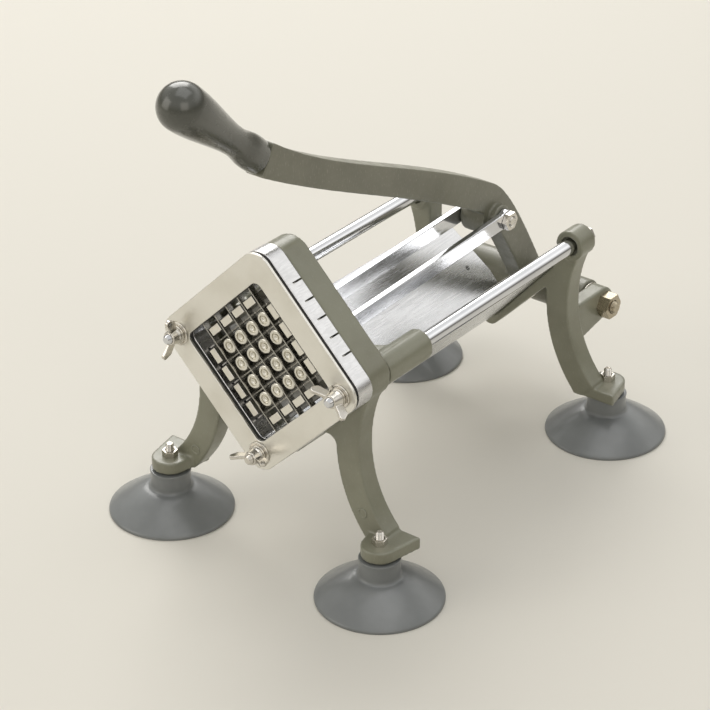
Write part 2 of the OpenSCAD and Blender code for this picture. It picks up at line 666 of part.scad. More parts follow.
module link(x0) color([0.86, 0.87, 0.88]) translate([x0, link_pin_y, link_pin_z]) rotate([link_slope, 0, 0]) difference() {
    rotate([90, 0, 90]) linear_extrude(link_t) union() {
        translate([0, -link_h / 2]) square([link_l, link_h]);
        circle(link_end_r);
        translate([link_l, 0]) circle(link_end_r);
    }
    for (y = [0, link_l]) translate([-1, y, 0]) rotate([0, 90, 0]) cylinder(h = link_t + 2, r = pin_r + fit_gap);
}
module link_left() link(-link_out);
module link_right() link(link_in);

module link_bolt() color([0.80, 0.79, 0.76]) {
    along_x(-link_out - face_gap, link_out + link_nut_h + 1.3, hub_y, hub_z, pin_r);
    translate([-link_out - face_gap - link_nut_h, hub_y, hub_z]) rotate([0, 90, 0])
        cylinder(h = link_nut_h, d = link_nut_af / cos(30), $fn = 6);
}
module link_nut() color([0.80, 0.79, 0.76])
    nut_x_axis(link_out + face_gap, link_out + face_gap + link_nut_h, hub_y, hub_z, link_nut_af, pin_r + fit_gap);

module link_pin() color([0.80, 0.79, 0.76]) difference() {
    along_x(-link_out - clip_t - 1, link_out + clip_t + 1, link_pin_y, link_pin_z, pin_r);
    for (x = [-link_out - clip_t, link_out])
        difference() {
            along_x(x, x + clip_t, link_pin_y, link_pin_z, pin_r + 1);
            along_x(x - 1, x + clip_t + 1, link_pin_y, link_pin_z, pin_r - 1);
        }
}
module link_pin_clips() color([0.55, 0.55, 0.56]) for (x = [-link_out - clip_t + 0.1, link_out + 0.1]) difference() {
    along_x(x, x + clip_t - 0.2, link_pin_y, link_pin_z, pin_r + 2);
    along_x(x - 1, x + clip_t + 1, link_pin_y, link_pin_z, pin_r - 1 + fit_gap);
}

// ---- Pusher ----

module pusher_carriage() color([0.48, 0.50, 0.46]) difference() {
    union() {
        for (x = [-rod_x, rod_x]) along_y(x, sleeve_y, sleeve_y + sleeve_l, head_z, sleeve_r);
        translate([-spine_x, spine_y, head_z - spine_half]) cube([2 * spine_x, carriage_y - spine_y + 1, 2 * spine_half]);
        both_sides() translate([0, 0, head_z - arm_half]) linear_extrude(2 * arm_half) polygon([
            [arm_x, carriage_y], [rod_x, carriage_y], [rod_x, carriage_y + 2.2 * arm_d],
            [rod_x - 7, carriage_y + 1.6 * arm_d], [rod_x - 17, carriage_y + arm_d], [arm_x, carriage_y + arm_d]
        ]);
        both_sides() slab_yz(lug_in, lug_out) polygon(lug_outline);
    }
    for (x = [-rod_x, rod_x]) along_y(x, sleeve_y - 1, sleeve_y + sleeve_l + 1, head_z, rod_r + fit_gap);
    slab_yz(-lug_out - 1, lug_out + 1) polygon(slot_outline);
    at_pusher_screws() translate([0, 0, -8]) cylinder(h = 8, r = 2.05);
}
lug_outline = [
    [carriage_y - 2, link_pin_z - lug_low], [lug_back_y, link_pin_z - lug_low],
    [lug_back_y, link_pin_z + slot_rise + lug_over[1]], [link_pin_y, link_pin_z + slot_rise + lug_over[2]],
    [carriage_y, link_pin_z + slot_rise + lug_over[3]], [carriage_y - 2, link_pin_z + lug_over[0]]
];
slot_outline = concat(
    arc([link_pin_y, link_pin_z], slot_half, 180, 360, 12),
    arc([link_pin_y, link_pin_z + slot_rise], slot_half, 0, 180, 12)
);

module at_pusher_screws() for (x = [-screw_span, screw_span]) translate([x, spine_y, head_z]) rotate([90, 0, 0]) children();

module pusher_plate() color([0.72, 0.72, 0.70]) difference() {
    slab_xz(finger_back_y, spine_y) translate([0, head_z]) polygon(diamond(pusher_h, opening_corner_r));
    at_pusher_screws() translate([0, 0, -1]) cylinder(h = pusher_t + 2, r = 2.2);
    at_pusher_screws() translate([0, 0, pusher_t - 2.6]) cylinder(h = 3, r = 3.8);
}

module pusher_screws() color([0.75, 0.74, 0.72]) at_pusher_screws() {
    translate([0, 0, -7.5]) cylinder(h = pusher_t + 7.5 - 2, r = 2);
    translate([0, 0, pusher_t - 2.6]) cylinder(h = 2.4, r = 3.6);
}

finger_l = finger_back_y - front_y - finger_tip;
module round_fingers() color([0.80, 0.79, 0.76]) for (i = [1:cells - 2], j = [1:cells - 2])
    in_head(cell_at(i), cell_at(j)) translate([0, finger_back_y, 0]) rotate([90, 0, 0]) difference() {
        cylinder(h = finger_l, d = finger_d, $fn = 32);
        translate([0, 0, finger_l - 0.6]) difference() {
            cylinder(h = 1, r = finger_d * 0.3, $fn = 24);
            translate([0, 0, -1]) cylinder(h = 3, r = finger_d * 0.14, $fn = 16);
        }
    }

module edge_fingers() color([0.80, 0.79, 0.76]) for (i = [0:cells - 1], j = [0:cells - 1])
    if (on_border(i) != on_border(j)) {
        w = on_border(i) ? edge_finger_w : finger_d;
        h = on_border(i) ? finger_d : edge_finger_w;
        in_head(cell_at(i), cell_at(j)) translate([-w / 2, finger_back_y - finger_l, -h / 2]) cube([w, finger_l, h]);
    }

front_casting();
rear_casting();
guide_rod_left();
guide_rod_right();
rod_nuts();
front_plate();
plate_spacer();
blade_frame();
front_blades();
rear_blades();
lower_stud();
clamp_washers();
wing_nut_left();
wing_nut_right();
wing_nut_bottom();
trough();
trough_screws();
suction_cup_front_left();
suction_cup_front_right();
suction_cup_rear_left();
suction_cup_rear_right();
foot_studs();
foot_nuts();
lever();
lever_bushes();
grip();
pivot_bolt();
pivot_nut();
pivot_washers();
link_left();
link_right();
link_bolt();
link_nut();
link_pin();
link_pin_clips();
pusher_carriage();
pusher_plate();
pusher_screws();
round_fingers();
edge_fingers();
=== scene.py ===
"""Dressed model of a lever press that cuts potatoes into sticks.

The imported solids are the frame. Every solid gets a finished piece in its place, modelled
here in millimetres at its own station and written to the mesh in metres.
"""
import logging
import math
from collections.abc import Iterator, Sequence
from contextlib import contextmanager
from dataclasses import dataclass, field
from enum import Enum

import bpy
from mathutils import Matrix, Vector


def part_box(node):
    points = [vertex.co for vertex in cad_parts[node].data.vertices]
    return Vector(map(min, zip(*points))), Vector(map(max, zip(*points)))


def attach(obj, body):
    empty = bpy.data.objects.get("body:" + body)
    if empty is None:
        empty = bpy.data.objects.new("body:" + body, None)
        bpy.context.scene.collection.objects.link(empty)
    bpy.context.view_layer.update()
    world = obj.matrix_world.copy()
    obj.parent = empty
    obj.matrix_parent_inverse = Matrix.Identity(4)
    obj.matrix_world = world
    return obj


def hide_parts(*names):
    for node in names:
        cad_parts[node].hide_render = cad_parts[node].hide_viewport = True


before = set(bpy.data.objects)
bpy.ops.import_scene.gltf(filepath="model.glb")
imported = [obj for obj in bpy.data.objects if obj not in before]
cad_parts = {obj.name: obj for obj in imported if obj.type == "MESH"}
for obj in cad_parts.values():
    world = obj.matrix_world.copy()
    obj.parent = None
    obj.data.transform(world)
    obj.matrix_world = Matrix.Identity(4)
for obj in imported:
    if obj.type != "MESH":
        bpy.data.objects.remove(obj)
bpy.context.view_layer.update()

MM = 0.001
C45 = math.sqrt(0.5)
LOG = logging.getLogger("press")

Flat = tuple[float, float]
Triple = tuple[float, float, float]
Outline = list[Flat]


class Axis(Enum):
    """Direction that a piece is drawn out or turned along."""

    X = 0
    Y = 1
    Z = 2

    def point(self, a: float, b: float, along: float) -> Vector:
        """Places a flat point (a, b) at a station along the axis.

        Args:
            a: First coordinate in the plane square to the axis, in millimetres.
            b: Second coordinate in that plane.
            along: Station along the axis.

        Returns:
            The point in the row frame, in metres.
        """
        spots = {Axis.X: (along, a, b), Axis.Y: (a, along, b), Axis.Z: (a, b, along)}
        return Vector(spots[self]) * MM

    @property
    def vector(self) -> Vector:
        """Unit vector of the axis."""
        return Vector([float(i == self.value) for i in range(3)])


class Body(Enum):
    """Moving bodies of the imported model."""

    FRAME = "frame"
    LEVER = "lever_body"
    LINKS = "links"
    PUSHER = "pusher"
    WING_LEFT = "wing_left"
    WING_RIGHT = "wing_right"
    WING_BOTTOM = "wing_bottom"


# ---- Modelling, as by hand ----


def choose(*pieces: bpy.types.Object) -> bpy.types.Object:
    """Selects these objects alone and makes the first one active.

    Args:
        *pieces: Objects to select.

    Returns:
        The active object.
    """
    bpy.ops.object.select_all(action="DESELECT")
    for piece in pieces:
        piece.select_set(True)
    bpy.context.view_layer.objects.active = pieces[0]
    return pieces[0]


@contextmanager
def editing(piece: bpy.types.Object) -> Iterator[None]:
    """Opens edit mode on one object with all of its points selected."""
    choose(piece)
    bpy.ops.object.mode_set(mode="EDIT")
    bpy.ops.mesh.select_all(action="SELECT")
    yield
    bpy.ops.object.mode_set(mode="OBJECT")


def ring_of_points(name: str, count: int, fill: str = "NOTHING") -> bpy.types.Object:
    """Adds a circle whose points are then laid on an outline.

    Args:
        name: Name of the new object.
        count: Number of points.
        fill: Blender's fill type for the circle.

    Returns:
        The new object.
    """
    bpy.ops.object.select_all(action="DESELECT")
    bpy.ops.mesh.primitive_circle_add(vertices=count, radius=MM, fill_type=fill)
    piece = bpy.context.object
    piece.name = piece.data.name = name
    return piece


def lay(piece: bpy.types.Object, points: Sequence[Vector]) -> None:
    """Lays the points of a mesh on the given places, in their order."""
    for vertex, place in zip(piece.data.vertices, points, strict=True):
        vertex.co = place
    piece.data.update()


def prism(name: str, outline: Outline, axis: Axis, lo: float, hi: float,
    hole: Outline | None = None) -> bpy.types.Object:
    """Draws an outline out along an axis.

    Args:
        name: Name of the piece.
        outline: Points square to the axis, in millimetres.
        axis: Direction of the extrusion.
        lo: Lower station along the axis.
        hi: Upper station along the axis.
        hole: Outline of an opening with as many points, or None.

    Returns:
        The closed piece.
    """
    piece = ring_of_points(name, len(outline), "NOTHING" if hole else "NGON")
    if hole:
        with editing(piece):
            bpy.ops.mesh.primitive_circle_add(vertices=len(hole), radius=MM)
    lay(piece, [axis.point(a, b, lo) for a, b in outline + (hole or [])])
    with editing(piece):
        if hole:
            bpy.ops.mesh.bridge_edge_loops()
            bpy.ops.mesh.select_all(action="SELECT")
        bpy.ops.mesh.extrude_region_move(TRANSFORM_OT_translate={"value": axis.vector * (hi - lo) * MM})
        bpy.ops.mesh.select_all(action="SELECT")
        bpy.ops.mesh.normals_make_consistent(inside=False)
    return piece


def lathe(name: str, profile: Outline, origin: Triple, axis: Axis, steps: int = 64,
    closed: bool = False) -> bpy.types.Object:
    """Spins a profile round an axis.

    Args:
        name: Name of the piece.
        profile: (radius, station) pairs, in millimetres, from pole to pole or round a closed section.
        origin: Point that the stations are counted from.
        axis: Axis of the spin.
        steps: Number of steps round.
        closed: True if the profile is a closed section, as for a ring.

    Returns:
        The closed piece.
    """
    piece = ring_of_points(name, len(profile))
    start = Vector(origin) * MM
    out = Vector((1, 0, 0)) if axis is not Axis.X else Vector((0, 1, 0))
    lay(piece, [start + out * r * MM + axis.vector * h * MM for r, h in profile])
    if not closed:
        ends = {0, len(profile) - 1}
        for vertex in piece.data.vertices:
            vertex.select = vertex.index in ends
        for edge in piece.data.edges:
            edge.select = set(edge.vertices) == ends
        choose(piece)
        bpy.ops.object.mode_set(mode="EDIT")
        bpy.ops.mesh.delete(type="EDGE_FACE")
        bpy.ops.object.mode_set(mode="OBJECT")
    with editing(piece):
        bpy.ops.mesh.spin(steps=steps, angle=math.tau, center=start, axis=axis.vector)
        bpy.ops.mesh.select_all(action="SELECT")
        bpy.ops.mesh.remove_doubles(threshold=2e-6)
        bpy.ops.mesh.normals_make_consistent(inside=False)
    return piece


def modify(piece: bpy.types.Object, kind: str, **values: object) -> None:
    """Adds one modifier, sets it and applies it.

    Args:
        piece: Object to work on.
        kind: Blender's name of the modifier type.
        **values: Settings of the modifier.
    """
    choose(piece)
    bpy.ops.object.modifier_add(type=kind)
    modifier = piece.modifiers[-1]
    for key, value in values.items():
        setattr(modifier, key, value)
    bpy.ops.object.modifier_apply(modifier=modifier.name)


def cut(piece: bpy.types.Object, tool: bpy.types.Object, operation: str = "DIFFERENCE") -> bpy.types.Object:
    """Cuts a piece with a tool shape, which is used up.

    Args:
        piece: Object to cut.
        tool: Closed shape to cut with.
        operation: Blender's boolean operation.

    Returns:
        The cut piece.
    """
    modify(piece, "BOOLEAN", object=tool, operation=operation, solver="EXACT")
    bpy.data.objects.remove(tool)
    return piece


def bore(piece: bpy.types.Object, axis: Axis, lo: float, hi: float, centre: Flat,
    radius: float) -> bpy.types.Object:
    """Bores a round hole through a piece, from station lo to station hi."""
    a, b = centre
    origin = tuple(axis.point(a, b, 0) / MM)
    return cut(piece, lathe("drill", [(0, lo), (radius, lo), (radius, hi), (0, hi)], origin, axis, 48))


def shade(piece: bpy.types.Object, angle: float = 40.0) -> bpy.types.Object:
    """Shades a piece smooth across edges that are flatter than the angle."""
    choose(piece)
    bpy.ops.object.shade_smooth_by_angle(angle=math.radians(angle))
    modify(piece, "WEIGHTED_NORMAL", keep_sharp=True, weight=80)
    return piece


def soften(piece: bpy.types.Object, width: float, segments: int = 3, limit: float = 30.0) -> bpy.types.Object:
    """Rounds the sharp edges of a piece and shades it.

    Args:
        piece: Object to work on.
        width: Width of the rounding, in millimetres.
        segments: Faces across the rounding.
        limit: Smallest angle between faces that counts as an edge, in degrees.

    Returns:
        The same piece.
    """
    modify(piece, "BEVEL", width=width * MM, segments=segments, limit_method="ANGLE",
        angle_limit=math.radians(limit))
    return shade(piece)


def join(name: str, pieces: Sequence[bpy.types.Object]) -> bpy.types.Object:
    """Joins pieces into one object of the given name."""
    joined = choose(*pieces)
    if len(pieces) > 1:
        bpy.ops.object.join()
    joined.name = joined.data.name = name
    return joined


def fuse(name: str, shells: Sequence[bpy.types.Object], voxel: float, passes: int) -> bpy.types.Object:
    """Melts overlapping closed shells into one casting with soft edges and filled corners.

    Args:
        name: Name of the casting.
        shells: Closed shells that overlap.
        voxel: Size of the remesh, in millimetres.
        passes: Smoothing passes that round the edges.

    Returns:
        The casting.
    """
    casting = join(name, shells)
    modify(casting, "REMESH", mode="VOXEL", voxel_size=voxel * MM)
    modify(casting, "SMOOTH", factor=0.5, iterations=passes)
    choose(casting)
    bpy.ops.object.shade_smooth()
    return casting


def settle(piece: bpy.types.Object, matrix: Matrix) -> bpy.types.Object:
    """Moves a piece by a matrix and applies the move, so that its place is in its mesh."""
    choose(piece)
    piece.matrix_world = matrix @ piece.matrix_world
    bpy.ops.object.transform_apply(location=True, rotation=True, scale=True)
    return piece


def copies(piece: bpy.types.Object, name: str, matrices: Sequence[Matrix]) -> bpy.types.Object:
    """Copies a piece to each place and joins the copies; the pattern itself is used up."""
    made = []
    for matrix in matrices:
        choose(piece)
        bpy.ops.object.duplicate(linked=False)
        made.append(settle(bpy.context.object, matrix))
    bpy.data.objects.remove(piece)
    return join(name, made)


def shift(x: float, y: float, z: float) -> Matrix:
    """Matrix of a move, given in millimetres."""
    return Matrix.Translation(Vector((x, y, z)) * MM)


def mirrored(piece: bpy.types.Object, name: str) -> bpy.types.Object:
    """Copies a piece to the other side of the middle plane, with its faces outwards."""
    choose(piece)
    bpy.ops.object.duplicate(linked=False)
    twin = settle(bpy.context.object, Matrix.Scale(-1, 4, Vector((1, 0, 0))))
    twin.name = twin.data.name = name
    with editing(twin):
        bpy.ops.mesh.normals_make_consistent(inside=False)
    return twin


# ---- Outlines ----


def bezier(p: Sequence[Flat], t: float) -> Flat:
    """Point of a cubic curve."""
    weights = ((1 - t) ** 3, 3 * t * (1 - t) ** 2, 3 * t * t * (1 - t), t**3)
    return tuple(sum(w * q[i] for w, q in zip(weights, p, strict=True)) for i in (0, 1))


def strip(p: Sequence[Flat], w0: float, w1: float, steps: int = 28, flare: float = 0.0) -> Outline:
    """Outline of a strip that follows a cubic curve.

    Args:
        p: Control points of the curve.
        w0: Width at the start.
        w1: Width at the end.
        steps: Steps along the curve.
        flare: Extra width at the very start.

    Returns:
        The closed outline.
    """
    left, right = [], []
    for i in range(steps + 1):
        t = i / steps
        x, y = bezier(p, t)
        slope = [
            (p[1][k] - p[0][k]) * (1 - t) ** 2 + 2 * (p[2][k] - p[1][k]) * t * (1 - t) + (p[3][k] - p[2][k]) * t * t
            for k in (0, 1)
        ]
        size = math.hypot(*slope)
        half = (w0 + (w1 - w0) * t + flare * (1 - t) ** 5) / 2
        nx, ny = -slope[1] / size * half, slope[0] / size * half
        left.append((x + nx, y + ny))
        right.append((x - nx, y - ny))
    return left + right[::-1]


def arc(centre: Flat, radius: float, a0: float, a1: float, steps: int = 10) -> Outline:
    """Points of an arc from angle a0 to angle a1, in degrees."""
    angles = [math.radians(a0 + (a1 - a0) * i / steps) for i in range(steps + 1)]
    return [(centre[0] + radius * math.cos(a), centre[1] + radius * math.sin(a)) for a in angles]


def diamond(half: float, radius: float, z: float, steps: int = 10) -> Outline:
    """Outline of a rounded square that stands on its corner, centred at height z."""
    points = []
    for k in range(4):
        corner = math.radians(90 * k)
        centre = ((half - radius) / C45 * math.cos(corner), (half - radius) / C45 * math.sin(corner) + z)
        points += arc(centre, radius, 90 * k - 45, 90 * k + 45, steps)
    return points


def hexagon(centre: Flat, flats: float) -> Outline:
    """Outline of a hexagon with its corners on the first coordinate's axis."""
    radius = flats / 2 / math.cos(math.radians(30))
    return arc(centre, radius, 0, 300, 5)


def thread(radius: float, lo: float, hi: float, pitch: float = 0.9, depth: float = 0.42) -> Outline:
    """Profile of a threaded length, as rings, with a chamfered tip at station lo.

    Args:
        radius: Outer radius.
        lo: Station of the tip, nearest to the pole.
        hi: Station where the thread ends.
        pitch: Distance from ring to ring.
        depth: Depth of the grooves.

    Returns:
        (radius, station) pairs from the tip's pole to hi.
    """
    way = 1 if hi > lo else -1
    rings = int(abs(hi - lo) / pitch)
    points = [(0.0, lo), (radius - 0.9, lo), (radius - 0.15, lo + 0.7 * way)]
    for i in range(1, rings):
        at = lo + i * pitch * way
        points += [(radius - depth, at), (radius, at + pitch * 0.45 * way)]
    return points + [(radius - depth, hi)]


# ---- Finishes ----


class NodeBoard:
    """The node tree of one material, with short calls for what the finishes share."""

    def __init__(self, name: str) -> None:
        """Starts a material with its shader and object coordinates."""
        self.material = bpy.data.materials.new(name)
        self.material.use_nodes = True
        self.nodes = self.material.node_tree.nodes
        self.links = self.material.node_tree.links
        self.shader = self.nodes["Principled BSDF"]
        self.place = self.nodes.new("ShaderNodeTexCoord").outputs["Object"]

    def noise(self, scale: float, detail: float = 2.0, stretch: Triple = (1, 1, 1),
        rough: float = 0.5) -> bpy.types.NodeSocket:
        """Adds noise on the object's coordinates.

        Args:
            scale: Waves per metre.
            detail: Octaves.
            stretch: Factors on the coordinates, small along the grain.
            rough: Weight of the finer octaves.

        Returns:
            The factor output.
        """
        mapping = self.nodes.new("ShaderNodeMapping")
        mapping.inputs["Scale"].default_value = stretch
        self.links.new(self.place, mapping.inputs["Vector"])
        node = self.nodes.new("ShaderNodeTexNoise")
        node.inputs["Scale"].default_value = scale
        node.inputs["Detail"].default_value = detail
        node.inputs["Roughness"].default_value = rough
        self.links.new(mapping.outputs["Vector"], node.inputs["Vector"])
        return node.outputs["Fac"]

    def remap(self, value: bpy.types.NodeSocket, span: Flat, out: Flat) -> bpy.types.NodeSocket:
        """Maps a value from one span to another, smoothly and clamped."""
        node = self.nodes.new("ShaderNodeMapRange")
        node.interpolation_type = "SMOOTHSTEP"
        for name, number in zip(("From Min", "From Max", "To Min", "To Max"), span + out, strict=True):
            node.inputs[name].default_value = number
        self.links.new(value, node.inputs["Value"])
        return node.outputs["Result"]

    def blend(self, factor: bpy.types.NodeSocket, a: Triple | bpy.types.NodeSocket,
        b: Triple) -> bpy.types.NodeSocket:
        """Mixes two colours, given as sRGB numbers or a socket, by a factor."""
        node = self.nodes.new("ShaderNodeMix")
        node.data_type = "RGBA"
        self.links.new(factor, node.inputs["Factor"])
        for name, value in (("A", a), ("B", b)):
            slot = next(s for s in node.inputs if s.name == name and s.type == "RGBA")
            if isinstance(value, tuple):
                slot.default_value = linear(value)
            else:
                self.links.new(value, slot)
        return next(s for s in node.outputs if s.type == "RGBA")

    def bump(self, layers: Sequence[tuple[bpy.types.NodeSocket, float, float]]) -> None:
        """Stacks bumps on the shader's normal, each as (height, strength, distance in millimetres)."""
        normal = None
        for height, strength, distance in layers:
            node = self.nodes.new("ShaderNodeBump")
            node.inputs["Strength"].default_value = strength
            node.inputs["Distance"].default_value = distance * MM
            self.links.new(height, node.inputs["Height"])
            if normal:
                self.links.new(normal, node.inputs["Normal"])
            normal = node.outputs["Normal"]
        self.links.new(normal, self.shader.inputs["Normal"])

    def drive(self, name: str, value: bpy.types.NodeSocket) -> None:
        """Links a value to the shader's input of that name."""
        self.links.new(value, self.shader.inputs[name])

    def fix(self, **values: float) -> None:
        """Sets the shader's own inputs, with underscores for the blanks of their names."""
        for key, value in values.items():
            self.shader.inputs[key.replace("_", " ")].default_value = value

    def edges(self) -> bpy.types.NodeSocket:
        """Adds the curvature output that is high on outer edges."""
        return self.nodes.new("ShaderNodeNewGeometry").outputs["Pointiness"]


def linear(colour: Triple) -> tuple[float, float, float, float]:
    """Turns an sRGB colour of 0 to 255 into Blender's linear colour."""
    parts = [c / 255 for c in colour]
    parts = [c / 12.92 if c <= 0.04045 else ((c + 0.055) / 1.055) ** 2.4 for c in parts]
    return (*parts, 1.0)


@dataclass(frozen=True)
class Finish:
    """What every finish has: its name, the record's slot and its main colour in sRGB."""

    name: str
    slot: str
    colour: Triple

    def material(self) -> bpy.types.Material:
        """Gives the material, built once."""
        found = bpy.data.materials.get(self.name)
        return found or self.build(NodeBoard(self.name))

    def build(self, board: NodeBoard) -> bpy.types.Material:
        """Builds the nodes; each kind of finish has its own."""
        raise NotImplementedError


@dataclass(frozen=True)
class CastPaint(Finish):
    """Semi-gloss paint on a sand casting, with lumps, pits and a painted highlight that lightens the outer edges.
    """

    # Light colour of the paint's specks, also blended onto the outer edges as a painted highlight.
    speck_and_edge_highlight: Triple = (150, 152, 143)
    shade: Triple = (104, 105, 94)
    stipple: float = 0.0
    rough: Flat = (0.36, 0.52)

    def build(self, board: NodeBoard) -> bpy.types.Material:
        """Builds paint colour, the painted highlight on the outer edges, sheen and the casting's skin."""
        broad = board.noise(28, 3)
        colour = board.blend(board.remap(broad, (0.35, 0.7), (0, 0.55)), self.colour, self.shade)
        fine = board.noise(900, 2, (1, 1, 0.45))
        colour = board.blend(board.remap(fine, (0.56, 0.74), (0, 0.22 + self.stipple)), colour, self.speck_and_edge_highlight)
        # Painted highlight: the outer edges, found by pointiness, are lightened towards the speck colour.
        colour = board.blend(board.remap(board.edges(), (0.51, 0.6), (0, 0.5)), colour, self.speck_and_edge_highlight)
        board.drive("Base Color", colour)
        board.drive("Roughness", board.remap(board.noise(160, 3), (0.3, 0.7), self.rough))
        board.fix(Specular_IOR_Level=0.55, Coat_Weight=0.25, Coat_Roughness=0.2)
        board.bump([
            (board.noise(95, 2), 0.35, 0.35),
            (board.noise(520, 3), 0.22 + self.stipple, 0.18),
        ])
        return board.material


@dataclass(frozen=True)
class Metal(Finish):
    """Bare or plated metal with grain, stains and fine scratches."""

    stain: Triple = (150, 148, 142)
    rough: Flat = (0.12, 0.24)
    grain: Triple = (1, 1, 1)
    grain_scale: float = 700.0
    grain_depth: float = 0.02
    ripple: float = 0.0

    def build(self, board: NodeBoard) -> bpy.types.Material:
        """Builds metal colour, its sheen along the grain and the grain's relief."""
        lines = board.noise(self.grain_scale, 3, self.grain)
        broad = board.noise(35, 3)
        colour = board.blend(board.remap(broad, (0.42, 0.72), (0, 0.35)), self.colour, self.stain)
        board.drive("Base Color", colour)
        board.drive("Roughness", board.remap(lines, (0.3, 0.7), self.rough))
        board.fix(Metallic=1.0)
        board.bump([(board.noise(60, 2), self.ripple, 0.5), (lines, 0.35, self.grain_depth)])
        return board.material


@dataclass(frozen=True)
class Moulded(Finish):
    """Rubber or vinyl with a faint mottle."""

    shade: Triple = (108, 110, 114)
    rough: Flat = (0.42, 0.56)
    coat: float = 0.0
    skin: float = 0.1

    def build(self, board: NodeBoard) -> bpy.types.Material:
        """Builds the mottled colour, the sheen and the skin."""
        broad = board.noise(45, 3)
        colour = board.blend(board.remap(broad, (0.3, 0.7), (0, 0.8)), self.colour, self.shade)
        board.drive("Base Color", colour)
        board.drive("Roughness", board.remap(board.noise(210, 3), (0.3, 0.7), self.rough))
        board.fix(Coat_Weight=self.coat, Coat_Roughness=0.16)
        board.bump([(board.noise(70, 1), self.skin, 0.4), (board.noise(1400, 2), self.skin, 0.05)])
        return board.material


CAST = CastPaint("grey_green_cast_paint", "cast_paint", (132, 132, 114), (150, 152, 138), (110, 108, 90),
    rough=(0.3, 0.42))
LEVER_PAINT = CastPaint("stippled_lever_paint", "lever_paint", (120, 119, 103), (148, 148, 134),
    (102, 101, 86), 0.2, (0.3, 0.46))
GRIP = Moulded("glossy_dipped_grip", "grip_gloss", (76, 77, 69), (68, 69, 62), (0.2, 0.28), 0.55, 0.03)
CHROME = Metal("chrome_plate", "chrome", (214, 215, 218), (190, 191, 194), (0.07, 0.15), (1, 0.02, 1), 900,
    0.006)
PLATE = Metal("brushed_front_plate", "plate_metal", (231, 229, 222), (204, 200, 188), (0.32, 0.42), (1, 1, 1),
    1500, 0.01)
# The spacer's near-black colour is painted shade: it stands for the shadow in the gap between the front plate and
# the blade frame.
GAP_SHADE_SPACER = Moulded("spacer_painted_gap_shade", "spacer_dark", (62, 61, 58), (44, 44, 43), (0.5, 0.65))
BLADE_FRAME = Metal("polished_blade_frame", "blade_frame_metal", (212, 212, 213), (194, 194, 194),
    (0.24, 0.36), (1, 0.15, 1), 1200, 0.006)
BLADE = Metal("ground_blade_steel", "blade_steel", (176, 174, 168), (140, 138, 132), (0.2, 0.32), (1, 0.1, 1),
    1600, 0.006)
TROUGH = Metal("sheet_stainless", "trough_steel", (216, 217, 219), (202, 203, 205), (0.22, 0.3), (1, 0.05, 1),
    900, 0.002, 0.015)
FINGER = Metal("cast_finger_metal", "finger_metal", (228, 225, 216), (204, 200, 190), (0.28, 0.42), (1, 1, 1),
    700, 0.006)
PUSHER = Metal("machined_pusher_plate", "pusher_metal", (168, 168, 166), (142, 142, 140), (0.3, 0.45),
    (0.1, 1, 1))
RUBBER = Moulded("grey_cup_rubber", "cup_rubber", (124, 127, 127), (113, 116, 116), (0.3, 0.4), 0.35, 0.03)
BRASS = Metal("bush_brass", "bush_brass", (190, 160, 100), (160, 132, 82), (0.25, 0.4))
NICKEL = Metal("nickel_fasteners", "fastener_nickel", (212, 208, 200), (184, 178, 168), (0.16, 0.28),
    (1, 1, 1), 600, 0.003)
WARM_NUT = Metal("warm_nickel_nut", "nut_warm", (178, 168, 148), (146, 136, 114), (0.22, 0.34), (1, 1, 1),
    600, 0.003)
CLIP = Metal("clip_steel", "clip_steel", (120, 120, 122), (92, 92, 94), (0.3, 0.45))


def dress(piece: bpy.types.Object, finish: Finish, body: Body, *nodes: str) -> bpy.types.Object:
    """Gives a finished piece its material, body and the solids that it stands for.

    Args:
        piece: The piece, in place.
        finish: Its finish.
        body: The body that it moves with.
        *nodes: Solids that it replaces.

    Returns:
        The same piece.
    """
    piece.data.materials.clear()
    piece.data.materials.append(finish.material())
    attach(piece, body.value)
    if nodes:
        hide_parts(*nodes)
    LOG.info("%s: %d faces, %s, on %s", piece.name, len(piece.data.polygons), finish.name, body.value)
    return piece


def hex_nut(name: str, axis: Axis, lo: float, hi: float, centre: Flat, flats: float,
    hole: float) -> bpy.types.Object:
    """Makes a hexagon nut or head with chamfered corners.

    Args:
        name: Name of the nut.
        axis: Axis of its thread.
        lo: Lower face.
        hi: Upper face.
        centre: Place of the axis, square to it.
        flats: Width across the flats.
        hole: Radius of its bore, or 0 for a bolt head.

    Returns:
        The finished nut.
    """
    nut = prism(name, hexagon(centre, flats), axis, lo, hi)
    corner, face = flats / 2 / math.cos(math.radians(30)) + 0.05, flats / 2 * 1.08
    drop = (corner - face) * 0.5
    origin = tuple(axis.point(*centre, 0) / MM)
    cut(nut, lathe("chamfer", [(0, lo), (face, lo), (corner, lo + drop), (corner, hi - drop), (face, hi),
        (0, hi)], origin, axis, 72), "INTERSECT")
    if hole:
        inner = [(0, lo - 1), (hole, lo - 1), (hole, lo + 0.5), (hole, hi - 0.6), (hole + 0.7, hi + 0.1),
            (0, hi + 0.1)]
        cut(nut, lathe("drill", inner, origin, axis, 48))
    return soften(nut, 0.22, 2, 24)


def washer(name: str, axis: Axis, lo: float, hi: float, centre: Flat, outer: float,
    inner: float) -> bpy.types.Object:
    """Makes a flat washer with rounded rims."""
    e = min(0.35, (hi - lo) * 0.3)
    section = [(inner, lo + e), (inner + e, lo), (outer - e, lo), (outer, lo + e), (outer, hi - e),
        (outer - e, hi), (inner + e, hi), (inner, hi - e)]
    return shade(lathe(name, section, tuple(axis.point(*centre, 0) / MM), axis, 64, closed=True), 50)


